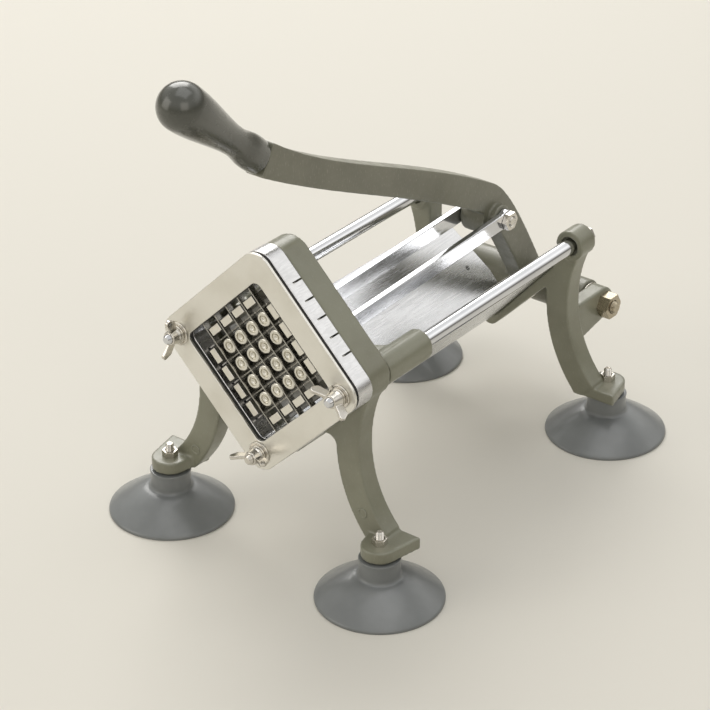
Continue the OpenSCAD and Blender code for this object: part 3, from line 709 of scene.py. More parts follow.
@dataclass
class Layout:
    """Stations and sizes that the sub-assemblies share, in millimetres, from the source's named values."""

    front_y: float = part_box("front_plate")[0].y / MM
    head_z: float = 136.5
    cell: float = 12.7
    cells: int = 6
    open_half: float = 38.9
    head_half: float = 54.7
    rod_x: float = 61.042
    stud_z: float = 75.458
    foot_x: float = 82.0
    leg_w: float = 16.5
    leg_t: float = 14.0
    pad_top: float = 38.0
    pad_t: float = 7.5
    pad_r: float = 11.5
    pad_half: float = 15.5
    trough_x: float = 48.6
    slope: float = 48.7
    trough_z: float = 62.6
    sheet_t: float = 1.0
    pivot_z: float = 74.5
    ear_in: float = 48.0
    ear_out: float = 59.0
    hub_z: float = 143.0

    def at(self, back: float) -> float:
        """Station at a distance behind the front plate's front face."""
        return self.front_y + back

    @property
    def frame_y(self) -> float:
        """Front of the blade frame."""
        return self.at(4.0)

    @property
    def ring_y(self) -> float:
        """Front of the cast ring."""
        return self.at(16.6)

    @property
    def ring_back_y(self) -> float:
        """Back of the cast ring."""
        return self.at(35.0)

    @property
    def rear_y(self) -> float:
        """Front of the rear casting's legs."""
        return self.at(236.5)

    @property
    def rear_back_y(self) -> float:
        """Back of the rear casting's legs."""
        return self.rear_y + self.leg_t

    @property
    def front_foot_y(self) -> float:
        """Station of the front feet."""
        return self.at(10.5)

    @property
    def rear_foot_y(self) -> float:
        """Station of the rear feet."""
        return self.rear_y + 17.8

    @property
    def pivot_y(self) -> float:
        """Station of the pivot."""
        return self.at(282.0)

    @property
    def hub_y(self) -> float:
        """Station of the link bolt."""
        return self.pivot_y - 51.0

    @property
    def pin_y(self) -> float:
        """Station of the links' front pin."""
        return self.ring_back_y + 11.5

    def line_at(self, i: int) -> float:
        """Place of a blade across the head."""
        return (i - self.cells / 2) * self.cell

    def cell_at(self, i: int) -> float:
        """Place of a cell's middle across the head."""
        return (i + 0.5 - self.cells / 2) * self.cell

    def in_head(self, u: float, v: float) -> Matrix:
        """Matrix from upright steps at the origin to steps u (up and right) and v (down and right) of the head."""
        place = shift((u + v) * C45, 0, self.head_z + (u - v) * C45)
        return place @ Matrix.Rotation(math.radians(-45), 4, "Y")

    @property
    def rise(self) -> float:
        """Height that the trough's sides gain per millimetre of width."""
        return math.tan(math.radians(self.slope))

    def trough_line(self, drop: float, bend: float, steps: int = 12) -> Outline:
        """Bottom of a V under the trough: the bend's points, a distance below the trough's faces."""
        side = 90 - self.slope
        centre = self.trough_z - drop + bend / math.cos(math.radians(self.slope))
        return arc((0, centre), bend, 180 + side, 360 - side, steps)


@dataclass
class CuttingHead:
    """Front plate, spacer, blade frame and the two rows of blades, with the clamps that hold them."""

    at: Layout
    corner: float = 12.0
    opening_corner: float = 5.0
    blade_t: float = 0.8
    slot_w: float = 1.2
    front_blade_d: float = 4.6
    rear_blade_d: float = 7.0
    wing_turns: dict[Body, float] = field(default_factory=lambda: {Body.WING_LEFT: 81.0,
        Body.WING_RIGHT: 153.0, Body.WING_BOTTOM: 9.0})

    def build(self) -> None:
        """Builds and dresses every piece of the head."""
        self.plates()
        self.blades()
        self.clamps()

    def slab(self, name: str, lo: float, hi: float, half: float, corner: float) -> bpy.types.Object:
        """Draws one rounded square slab of the head with its opening."""
        z = self.at.head_z
        slab = prism(name, diamond(half, corner, z), Axis.Y, lo, hi,
            diamond(self.at.open_half, self.opening_corner, z))
        return slab

    def plates(self) -> None:
        """Builds the front plate, the spacer and the slotted blade frame."""
        a = self.at
        plate = soften(self.slab("front_plate_dressed", a.front_y, a.at(2), a.head_half, self.corner), 0.55,
            3)
        dress(plate, PLATE, Body.FRAME, "front_plate")
        # Spacer in near-black, painted shade for the gap between front plate and blade frame.
        spacer = soften(self.slab("plate_spacer_dressed", a.at(2), a.frame_y, a.head_half - 1.2,
            self.corner - 1.2), 0.3, 2)
        dress(spacer, GAP_SHADE_SPACER, Body.FRAME, "plate_spacer")
        block = soften(self.slab("blade_frame_dressed", a.frame_y, a.ring_y, a.head_half, self.corner), 0.6,
            3)
        lo = a.ring_y - 0.3 - self.rear_blade_d - 1
        half = self.slot_w / 2
        reach = a.head_half + 1
        for i in range(1, a.cells):
            saw = prism("saw", [(-reach, -half), (reach, -half), (reach, half), (-reach, half)], Axis.Y, lo,
                a.ring_y + 1)
            cut(block, settle(saw, a.in_head(0, a.line_at(i))))
        dress(shade(block, 30), BLADE_FRAME, Body.FRAME, "blade_frame")

    def blade(self, name: str, lo: float, depth: float, half: float) -> bpy.types.Object:
        """Makes one blade along X at the origin, ground to an edge at its rear."""
        t = self.blade_t / 2
        section = [(lo, -t), (lo + 0.15, -t), (lo + depth - 1.6, -t), (lo + depth, -0.06), (lo + depth, 0.06),
            (lo + depth - 1.6, t), (lo + 0.15, t), (lo, t)]
        return shade(prism(name, section, Axis.X, -half, half), 12)

    def blades(self) -> None:
        """Builds the front row and the rear row of blades."""
        a = self.at
        quarter = Matrix.Rotation(math.radians(90), 4, "Y")
        front = self.blade("front_blade", a.frame_y + 0.2, self.front_blade_d, a.open_half + 7.7)
        rear = self.blade("rear_blade", a.ring_y - 0.3 - self.rear_blade_d, self.rear_blade_d,
            a.head_half - 4)
        steps = [a.line_at(i) for i in range(1, a.cells)]
        row = copies(front, "front_blades_dressed", [a.in_head(s, 0) @ quarter for s in steps])
        dress(row, BLADE, Body.FRAME, "front_blades")
        row = copies(rear, "rear_blades_dressed", [a.in_head(0, s) for s in steps])
        dress(row, BLADE, Body.FRAME, "rear_blades")

    def clamps(self) -> None:
        """Builds the lower stud, the washers and the three wing nuts."""
        a = self.at
        spots = {Body.WING_LEFT: (-a.rod_x, a.head_z), Body.WING_RIGHT: (a.rod_x, a.head_z),
            Body.WING_BOTTOM: (0.0, a.stud_z)}
        tip = a.front_y - 12
        profile = thread(3.0, tip, a.at(1)) + [(3.0, a.at(1.2)), (3.0, a.ring_back_y - 8),
            (0, a.ring_back_y - 8)]
        stud = shade(lathe("lower_stud_dressed", profile, (0, 0, a.stud_z), Axis.Y, 40), 30)
        dress(stud, NICKEL, Body.FRAME, "lower_stud")
        rings = []
        for x, z in spots.values():
            rings.append(washer("flat_washer", Axis.Y, a.front_y - 1.5, a.front_y, (x, z), 7.5, 3.05))
            rings.append(washer("lock_washer", Axis.Y, a.front_y - 3.0, a.front_y - 1.5, (x, z), 5.8, 3.05))
        dress(join("clamp_washers_dressed", rings), NICKEL, Body.FRAME, "clamp_washers")
        for body, (x, z) in spots.items():
            nut = self.wing_nut(f"{body.value}_nut_dressed")
            turn = Matrix.Rotation(math.radians(-self.wing_turns[body]), 4, "Y")
            settle(nut, shift(x, a.front_y - 3, z) @ turn)
            dress(nut, NICKEL, body, body.value.replace("wing_", "wing_nut_"))

    def wing_nut(self, name: str) -> bpy.types.Object:
        """Makes a wing nut at the origin, its base in the plane of X and Z and its wings along X, swept forward."""
        tall = 6.5
        hub = lathe("hub", [(0, 0), (5.5, 0), (5.6, -0.8), (4.9, -2.2), (4.3, -tall + 0.6), (3.9, -tall),
            (0, -tall)], (0, 0, 0), Axis.Y, 40)
        wing = [(3.2, -0.6), (6.6, -1.2), (12.2, -3.4)] + arc((11.7, -tall - 1.6), 2.2, 40, -110,
            8) + [(7.6, -tall - 1.4), (3.6, -tall + 0.6)]
        shells = [hub]
        for side in (1, -1):
            shells.append(prism("wing", [(side * p, q) for p, q in wing], Axis.Z, -1.1, 1.1))
        nut = fuse(name, shells, 0.3, 3)
        return bore(nut, Axis.Y, -tall - 1, 1, (0, 0), 3.06)


@dataclass
class FrontCasting:
    """The ring behind the blades with its two legs, foot pads and the ledge under the trough."""

    at: Layout
    ring_corner: float = 15.0
    web_r: float = 6.5
    ledge_l: float = 8.0

    def build(self) -> None:
        """Builds the casting as one melt of its shells, and its round casting marks."""
        a = self.at
        ring = prism("ring", diamond(a.head_half, self.ring_corner, a.head_z, 12), Axis.Y, a.ring_y,
            a.ring_back_y,
                     diamond(a.open_half, 5.0, a.head_z, 12))
        shells = [ring, self.ledge()]
        for part in (self.leg(), self.pad(), self.web()):
            shells += [part, mirrored(part, part.name)]
        casting = fuse("front_casting_dressed", shells, 0.85, 3)
        marks = []
        for x, z in ((16 - a.foot_x, a.pad_top + 7), (a.foot_x - 17.5, a.pad_top + 11.4)):
            y = a.ring_y
            rim = [(0, y + 0.5), (0, y - 0.25), (2.2, y - 0.25), (2.6, y - 0.6), (3.1, y - 0.6),
                (3.4, y - 0.1), (3.4, y + 0.5)]
            marks.append(shade(lathe("mark", rim, (x, 0, z), Axis.Y, 40), 30))
        dress(join("front_casting_dressed", [casting, *marks]), CAST, Body.FRAME, "front_casting")

    def leg_curve(self) -> list[Flat]:
        """Control points of a front leg's middle line."""
        a = self.at
        end = (a.foot_x - 6, a.pad_top - 4)
        return [(a.rod_x + 1.5, a.head_z), (a.rod_x - 11.5, a.head_z - 28.5), (end[0] - 29.7, end[1] + 32),
            end]

    def leg(self) -> bpy.types.Object:
        """Draws the right front leg, cut off level with the underside of the pad."""
        a = self.at
        leg = prism("leg", strip(self.leg_curve(), a.leg_w + 1, a.leg_w), Axis.Y, a.ring_y,
            a.ring_y + a.leg_t)
        return level_cut(leg, a.pad_top - a.pad_t)

    def pad(self) -> bpy.types.Object:
        """Draws the right front foot pad."""
        a = self.at
        return foot_pad(a, a.front_foot_y, a.ring_y + a.leg_t)

    def web(self) -> bpy.types.Object:
        """Draws the web that blends the leg's inner edge into the underside of the ring."""
        a = self.at
        low = a.head_z - a.head_half / C45
        curve = self.leg_curve()
        edge = bezier(curve, 0.42)[0] - a.leg_w / 2
        mid = (edge - self.web_r, low + edge - self.web_r - self.web_r / C45)
        outline = [(edge + 4, mid[1]), (edge + 4, low + edge + 8)] + arc(mid, self.web_r, 135, 0, 8)
        return prism("web", outline, Axis.Y, a.ring_y, a.ring_y + a.leg_t)

    def ledge(self) -> bpy.types.Object:
        """Draws the V ledge on the ring's rear face that carries the trough's front end."""
        a = self.at
        top = a.trough_line(0.1, 8.0)
        vee = a.trough_z - 5.8
        side = 30.0
        edge, low = a.trough_z - 0.1 + side * a.rise, vee + side + 4
        outline = [(-side, edge), *top, (side, edge), (side + 3, low), (0, vee + 2), (-side - 3, low)]
        return prism("ledge", outline, Axis.Y, a.ring_back_y - 1, a.ring_back_y + self.ledge_l)


def level_cut(piece: bpy.types.Object, z: float) -> bpy.types.Object:
    """Cuts off all that lies below a height and closes the cut."""
    with editing(piece):
        bpy.ops.mesh.bisect(plane_co=(0, 0, z * MM), plane_no=(0, 0, 1), use_fill=True, clear_inner=True)
    return piece


def foot_pad(at: Layout, foot_y: float, flat_y: float) -> bpy.types.Object:
    """Draws a D-shaped foot pad on the right: round about the foot, flat at station flat_y."""
    side = 1 if flat_y > foot_y else -1
    depth = abs(flat_y - foot_y)
    touch = math.degrees(math.acos(at.pad_r / math.hypot(at.pad_half, depth)) - math.atan2(depth,
        at.pad_half))
    bend = [(x, foot_y - side * y) for x, y in arc((at.foot_x, 0), at.pad_r, touch, 180 - touch, 24)]
    outline = bend + [(at.foot_x - at.pad_half, flat_y), (at.foot_x + at.pad_half, flat_y)]
    return prism("pad", outline, Axis.Z, at.pad_top - at.pad_t, at.pad_top)


@dataclass
class RearCasting:
    """The rear legs with the V bar under the trough, the rod bosses and the pivot ears."""

    at: Layout
    boss_r: float = 10.0
    ear_r: float = 11.0

    def build(self) -> None:
        """Builds the casting as one melt of its shells and bores it for rods and pivot."""
        a = self.at
        shells = [self.vee_bar()]
        for part in (self.leg(), foot_pad(a, a.rear_foot_y, a.rear_y + 1), self.ear(), self.boss()):
            shells += [part, mirrored(part, part.name)]
        casting = fuse("rear_casting_dressed", shells, 0.8, 3)
        for x in (-a.rod_x, a.rod_x):
            front = a.rear_y - 1.5
            steps = [(0, front - 1), (6.7, front - 1), (6.3, front + 0.6), (6.2, front + 3),
                (5.06, front + 3.2), (5.06, a.rear_y + 8), (3.1, a.rear_y + 8), (3.1, a.rear_back_y + 1),
                    (0, a.rear_back_y + 1)]
            cut(casting, lathe("drill", steps, (x, 0, a.head_z), Axis.Y, 48))
        bore(casting, Axis.X, -a.ear_out - 2, a.ear_out + 2, (a.pivot_y, a.pivot_z), 4.25)
        dress(casting, CAST, Body.FRAME, "rear_casting")

    def leg(self) -> bpy.types.Object:
        """Draws the right rear leg, clear of the trough and level with the pad's underside."""
        a = self.at
        end = (a.foot_x - 6, a.pad_top - 4)
        curve = [(a.rod_x, a.head_z), (a.rod_x - 13.5, a.head_z - 28.5), (end[0] - 29.7, end[1] + 32), end]
        leg = prism("leg", strip(curve, a.leg_w, a.leg_w), Axis.Y, a.rear_y, a.rear_back_y)
        leg = level_cut(leg, a.pad_top - a.pad_t)
        return cut(leg, self.trough_room())

    def trough_room(self) -> bpy.types.Object:
        """Draws all that lies on or above the trough's outer faces."""
        a = self.at
        x = a.trough_x + 0.6
        top = a.trough_z - 0.1 + x * a.rise
        outline = [(-x, 300), (-x, top), *a.trough_line(0.1, 8.0), (x, top), (x, 300)]
        return prism("room", outline, Axis.Y, a.rear_y - 2, a.rear_back_y + 2)

    def vee_bar(self) -> bpy.types.Object:
        """Draws the V bar that joins the legs under the trough."""
        a = self.at
        out = a.rod_x - 9
        low = a.trough_z - 5.8
        edge, under = a.trough_z - 0.1 + out * a.rise, low + out * 1.04
        outline = [(-out, edge), (-out, under), *arc((0, low + 6.5 / C45), 6.5, 225, 315, 12), (out, under),
            (out, edge), *a.trough_line(0.1, 8.0)[::-1]]
        return prism("vee", outline, Axis.Y, a.rear_y, a.rear_back_y)

    def boss(self) -> bpy.types.Object:
        """Draws the boss that holds the rear end of the right rod."""
        a = self.at
        lo, hi, r = a.rear_y - 1.5, a.rear_back_y, self.boss_r
        return lathe("boss", [(0, lo), (r, lo), (r, hi), (0, hi)], (a.rod_x, 0, a.head_z), Axis.Y, 72)

    def ear(self) -> bpy.types.Object:
        """Draws the right pivot ear."""
        a, r = self.at, self.ear_r
        back = a.rear_back_y
        outline = [(back - 5, a.pivot_z + r), (back - 5, a.pivot_z - r - 6), (back, a.pivot_z - r - 6),
            (back + 8, a.pivot_z - r - 4.5)]
        return prism("ear", outline + arc((a.pivot_y, a.pivot_z), r, -90, 90, 24), Axis.X, a.ear_in,
            a.ear_out)


@dataclass
class GuideRods:
    """The two chrome rods with their threaded ends and rear nuts."""

    at: Layout
    rod_r: float = 5.0
    stud_r: float = 3.0

    def build(self) -> None:
        """Builds both rods and the nuts behind the rear casting."""
        a, r, s = self.at, self.rod_r, self.stud_r
        lo, hi = a.ring_back_y - 8, a.rear_y + 8
        tip = a.rear_back_y + 9
        rear = [(p, q) for p, q in thread(s, tip, a.rear_back_y - 1)]
        profile = thread(s, a.front_y - 12, a.at(1)) + [(s, a.at(1.3)), (s, lo), (r - 0.5, lo), (r, lo + 0.6),
            (r, hi - 0.6), (r - 0.5, hi), (s, hi), (s, a.rear_back_y - 1.3)] + rear[::-1]
        nuts = []
        for x, side in ((-a.rod_x, "left"), (a.rod_x, "right")):
            rod = shade(lathe(f"guide_rod_{side}_dressed", profile, (x, 0, a.head_z), Axis.Y, 72), 30)
            dress(rod, CHROME, Body.FRAME, f"guide_rod_{side}")
            nuts.append(hex_nut("nut", Axis.Y, a.rear_back_y, a.rear_back_y + 6, (x, a.head_z), 10, s + 0.05))
        dress(join("rod_nuts_dressed", nuts), NICKEL, Body.FRAME, "rod_nuts")


@dataclass
class Trough:
    """The V trough of thin sheet with folded top edges, and the screws that hold it."""

    at: Layout
    bend_r: float = 7.0
    hem_w: float = 3.5

    def build(self) -> None:
        """Builds the trough and its screws."""
        self.sheet()
        self.screws()

    def sheet(self) -> None:
        """Builds the bent sheet with its folded strips and its sloping rear corners."""
        a = self.at
        along = Vector((math.cos(math.radians(a.slope)), math.sin(math.radians(a.slope))))
        inward = Vector((-along.y, along.x)) * a.sheet_t
        corner = Vector((a.trough_x, a.trough_z + a.trough_x * a.rise))
        x, top = corner
        outer = a.trough_line(0, self.bend_r + a.sheet_t, 14)
        inner = a.trough_line(-a.sheet_t / along.x, self.bend_r, 14)[::-1]
        fold, hem = 1.8 * inward, self.hem_w * along
        right = [tuple(p) for p in (corner, corner + fold, corner + fold - hem, corner + inward - hem)]
        left = [(-p, q) for p, q in right][::-1]
        lo, hi = a.ring_back_y + 0.3, a.rear_back_y + 10.5
        sheet = prism("trough_dressed", outer + right + inner + left, Axis.Y, lo, hi)
        wedge = [(hi - 13, top + 5), (hi + 1, a.trough_z + 18), (hi + 1, top + 5)]
        cut(sheet, prism("wedge", wedge, Axis.X, -x - 2, x + 2))
        dress(soften(sheet, 0.22, 2, 35), TROUGH, Body.FRAME, "trough")

    def screws(self) -> None:
        """Builds the four screws, square to the trough's faces, heads below."""
        a = self.at
        deep = 5.8 * math.cos(math.radians(a.slope))
        profile = [(0, -a.sheet_t), (1.8, -a.sheet_t), (2, -a.sheet_t + 0.2), (2, deep), (3.6, deep),
            (3.6, deep + 1.0), (3.1, deep + 1.8), (2.2, deep + 2.2), (1.3, deep + 2.2), (1.2, deep + 1.0),
                (0, deep + 0.9)]
        screw = shade(lathe("screw", profile, (0, 0, 0), Axis.Z, 40), 30)
        places = []
        for y in (a.ring_back_y + 4, a.rear_y + a.leg_t / 2):
            for s in (-1, 1):
                turn = Matrix.Rotation(math.radians(-a.slope * s), 4, "Y") @ Matrix.Rotation(math.pi, 4, "X")
                places.append(shift(s * 24, y, a.trough_z + 24 * a.rise) @ turn)
        dress(copies(screw, "trough_screws_dressed", places), NICKEL, Body.FRAME, "trough_screws")


@dataclass
class Feet:
    """Four suction cups with their studs and nuts."""

    at: Layout
    cup_r: float = 39.48
    neck_r: float = 12.9
    stud_r: float = 2.6
    nut_h: float = 4.1

    def places(self) -> dict[str, Flat]:
        """Place of each foot, by the name of its corner."""
        a = self.at
        return {
            f"{end}_{side}": (x, y)
            for end, y in (("front", a.front_foot_y), ("rear", a.rear_foot_y))
            for side, x in (("left", -a.foot_x), ("right", a.foot_x))
        }

    def build(self) -> None:
        """Builds the cups, the studs and the nuts."""
        a = self.at
        low = a.pad_top - a.pad_t
        for name, (x, y) in self.places().items():
            cup = shade(lathe(f"suction_cup_{name}_dressed", self.cup_profile(low), (x, y, 0), Axis.Z, 128),
                35)
            dress(cup, RUBBER, Body.FRAME, f"suction_cup_{name}")
        top = a.pad_top + 8.6
        profile = thread(self.stud_r, top, a.pad_top + 1, 0.75, 0.34) + [(self.stud_r, a.pad_top + 0.8),
            (self.stud_r, low - 11.8), (0, low - 11.8)]
        stud = shade(lathe("stud", profile, (0, 0, 0), Axis.Z, 40), 30)
        spots = [shift(x, y, 0) for x, y in self.places().values()]
        dress(copies(stud, "foot_studs_dressed", spots), NICKEL, Body.FRAME, "foot_studs")
        nut = hex_nut("nut", Axis.Z, a.pad_top, a.pad_top + self.nut_h, (0, 0), 8.6, self.stud_r + 0.05)
        spots = [spot @ Matrix.Rotation(math.radians(-21), 4, "Z") for spot in spots]
        dress(copies(nut, "foot_nuts_dressed", spots), NICKEL, Body.FRAME, "foot_nuts")

    def cup_profile(self, top: float) -> Outline:
        """Profile of a cup from the stud hole's pole over the neck, the flare and the lip to the hollow's pole."""
        r, n = self.cup_r, self.neck_r
        shoulder = (n + 1.5, 16.2)
        flare = []
        for i in range(1, 20):
            t = i / 20
            flare.append((shoulder[0] + (r - 1.2 - shoulder[0]) * t,
                2.7 + (shoulder[1] - 2.7) * (1 - t**1.35)))
        roof = 9.6
        hollow = [((r - 2) * i / 12, roof * (1 - (i / 12) ** 2)) for i in range(12, -1, -1)]
        rim = top - 1.3
        neck = [(0, top - 12), (2.65, top - 12), (2.65, rim - 0.2), (2.9, rim), (n - 1.0, rim),
            (n - 0.3, rim - 0.2), (n, rim - 0.7), (n - 0.05, rim - 1.5), (n - 0.3, rim - 2.0),
                (n - 0.3, 18.6), (n, 17.4), (n + 0.6, 16.6)]
        lip = [(r - 0.9, 2.5), (r - 0.25, 1.9), (r, 1.2), (r, 0.5), (r - 0.3, 0.0)]
        return neck + [shoulder] + flare + lip + hollow


@dataclass
class Lever:
    """The cast lever with its dipped grip, its bushes and the bolts it turns on."""

    at: Layout
    thick: float = 13.0
    tilt: float = 40.6
    seam_back: float = 4.4
    seam_z: float = 268.8
    arm_w: Flat = (15.4, 20.6)
    shank_w: float = 19.5
    hub_r: float = 13.4
    boss_r: float = 8.6
    hub_w: float = 23.4
    barrel_r: float = 12.5
    barrel_half: float = 46.6
    grip_l: float = 96.5
    grip_r: float = 14.5
    neck_r: float = 10.3
    waist_r: float = 8.8

    def build(self) -> None:
        """Builds the lever, the grip and what holds them."""
        self.casting()
        self.grip()
        self.pivot()
        self.link_bolt()

    def casting(self) -> None:
        """Builds the arm, the shank, the hub and the barrel as one melt, then bores it."""
        a, half = self.at, self.thick / 2
        seam = (a.at(self.seam_back), self.seam_z)
        crown = (a.hub_y - 7.2, a.hub_z + 15)
        arm = [(seam[0] + 1.5, seam[1] - 1), (seam[0] + 64, seam[1] - 40.8), (crown[0] - 75, crown[1] + 44),
            crown]
        shank = [crown, (crown[0] + 18, crown[1] - 10), (a.pivot_y - 16, a.pivot_z + 27),
            (a.pivot_y, a.pivot_z)]
        rib = self.arm_w[1]
        shells = [
            prism("arm", strip(arm, *self.arm_w, 40, 5.6), Axis.X, -half, half),
            prism("shank", strip(shank, rib, self.shank_w, 30), Axis.X, -half, half),
            self.drum("crown", -half, half, rib / 2, crown),
            self.drum("belly", -self.hub_w / 2, half, self.hub_r, (a.hub_y, a.hub_z)),
            self.drum("boss", 0, self.hub_w / 2, self.boss_r, (a.hub_y, a.hub_z)),
            self.drum("barrel", -self.barrel_half, self.barrel_half, self.barrel_r, (a.pivot_y, a.pivot_z)),
        ]
        casting = fuse("lever_dressed", shells, 0.8, 3)
        bore(casting, Axis.X, -20, 20, (a.hub_y, a.hub_z), 4.06)
        bore(casting, Axis.X, -60, 60, (a.pivot_y, a.pivot_z), 6.03)
        dress(casting, LEVER_PAINT, Body.LEVER, "lever")
        bushes = [washer("bush", Axis.X, lo, lo + 12, (a.pivot_y, a.pivot_z), 6.0,
            4.25) for lo in (-self.barrel_half, self.barrel_half - 12)]
        dress(join("lever_bushes_dressed", bushes), BRASS, Body.LEVER, "lever_bushes")

    def drum(self, name: str, lo: float, hi: float, radius: float, centre: Flat) -> bpy.types.Object:
        """Draws a cylinder along X, from station lo to station hi."""
        return lathe(name, [(0, lo), (radius, lo), (radius, hi), (0, hi)], (0, *centre), Axis.X, 72)

    def grip_profile(self) -> Outline:
        """Profile of the grip, as radius and distance from its seam."""
        length, r, n, w = self.grip_l, self.grip_r, self.neck_r, self.waist_r
        waist, belly = length * 0.28, length - r
        collar = [(0, 0), (n - 0.5, 0), (n - 0.05, 0.35), (n, 1.2)]
        dip = [bezier([(n, 1.2), (n + 1.4, length * 0.16), (w, length * 0.18), (w, waist)],
            i / 14) for i in range(1, 15)]
        swell = [bezier([(w, waist), (w + 0.4, length * 0.45), (r - 0.3, length * 0.65), (r, belly)],
            i / 18) for i in range(1, 19)]
        dome = arc((0, belly), r, 0, 90, 16)[1:-1]
        return collar + dip + swell + dome + [(0, length)]

    def grip(self) -> None:
        """Builds the dipped grip: an egg that narrows to a collar of the arm's flat section."""
        a = self.at
        grip = lathe("grip_dressed", self.grip_profile(), (0, 0, 0), Axis.Z, 96)
        for vertex in grip.data.vertices:
            near = max(0.0, 1 - vertex.co.z / (30 * MM))
            vertex.co.x *= 1 - 0.2 * near * near * (3 - 2 * near)
        grip.data.update()
        lean = Matrix.Rotation(math.radians(90 - self.tilt), 4, "X")
        settle(grip, shift(0, a.at(self.seam_back), self.seam_z) @ lean)
        dress(shade(grip, 50), GRIP, Body.LEVER, "grip")

    def pivot(self) -> None:
        """Builds the pivot bolt with its head, the washers and the nut."""
        a = self.at
        centre = (a.pivot_y, a.pivot_z)
        tip = thread(4.2, a.ear_out + 10.5, a.ear_out + 7, 1.1, 0.5)
        shank = [(0, -a.ear_out - 1), (4.2, -a.ear_out - 1), (4.2, a.ear_out + 6.7)]
        bolt = shade(lathe("shank", shank + tip[::-1], (0, *centre), Axis.X, 48), 30)
        head = hex_nut("head", Axis.X, -a.ear_out - 5.5, -a.ear_out, centre, 15, 0)
        dress(join("pivot_bolt_dressed", [bolt, head]), WARM_NUT, Body.FRAME, "pivot_bolt")
        nut = hex_nut("pivot_nut_dressed", Axis.X, a.ear_out, a.ear_out + 8, centre, 15, 4.25)
        dress(nut, WARM_NUT, Body.FRAME, "pivot_nut")
        rings = [washer("ring", Axis.X, lo, lo + 1.2, centre, self.barrel_r - 1.5, 4.25) for lo in (-a.ear_in,
            a.ear_in - 1.2)]
        dress(join("pivot_washers_dressed", rings), NICKEL, Body.FRAME, "pivot_washers")

    def link_bolt(self) -> None:
        """Builds the bolt and the nut that hold the links to the hub."""
        a = self.at
        centre = (a.hub_y, a.hub_z)
        out = self.hub_w / 2 + 4.5
        tip = thread(3.2, out + 4.0, out + 3.3, 1.0, 0.3)
        bolt = shade(lathe("shank", [(0, -out - 1), (4, -out - 1), (4, out - 0.1), (3.2, out),
            (3.2, out + 3.1)] + tip[::-1], (0, *centre), Axis.X, 48), 30)
        head = hex_nut("head", Axis.X, -out - 3.6, -out, centre, 11, 0)
        dress(join("link_bolt_dressed", [bolt, head]), NICKEL, Body.LEVER, "link_bolt")
        dress(hex_nut("link_nut_dressed", Axis.X, out, out + 3.6, centre, 11, 3.25), NICKEL, Body.LEVER,
            "link_nut")


@dataclass
class Links:
    """The two chrome bars from the hub to the pusher, with their front pin and clips."""

    at: Layout
    thick: float = 4.0
    height: float = 10.5
    end_r: float = 6.6
    inner: float = 12.0

    def build(self) -> None:
        """Builds both bars, the pin and its clips."""
        a = self.at
        run = (a.hub_y - a.pin_y, a.hub_z - a.head_z)
        length, half = math.hypot(*run), self.height / 2
        meet = math.degrees(math.asin(half / self.end_r))
        outline = arc((0, 0), self.end_r, meet, 360 - meet, 24) + arc((length, 0), self.end_r, meet - 180,
            180 - meet, 24)
        place = shift(0, a.pin_y, a.head_z) @ Matrix.Rotation(math.atan2(run[1], run[0]), 4, "X")
        for side, lo in (("left", -self.inner - self.thick), ("right", self.inner)):
            bar = prism(f"link_{side}_dressed", outline, Axis.X, lo, lo + self.thick)
            for y in (0, length):
                bore(bar, Axis.X, lo - 1, lo + self.thick + 1, (y, 0), 4.05)
            settle(bar, place)
            dress(soften(bar, 0.6, 3), CHROME, Body.LINKS, f"link_{side}")
        out = self.inner + self.thick
        end, neck = out + 2.2, out + 1.2
        pin = [(0, -end), (3.5, -end), (4, -end + 0.5), (4, -neck), (3, -neck), (3, -out), (4, -out)]
        pin += [(p, -q) for p, q in pin][::-1]
        rod = shade(lathe("link_pin_dressed", pin, (0, a.pin_y, a.head_z), Axis.X, 48), 30)
        dress(rod, NICKEL, Body.LINKS, "link_pin")
        clips = [washer("clip", Axis.X, lo, lo + 1, (a.pin_y, a.head_z), 6, 3.05) for lo in (-out - 1.1,
            out + 0.1)]
        dress(join("link_pin_clips_dressed", clips), CLIP, Body.LINKS, "link_pin_clips")


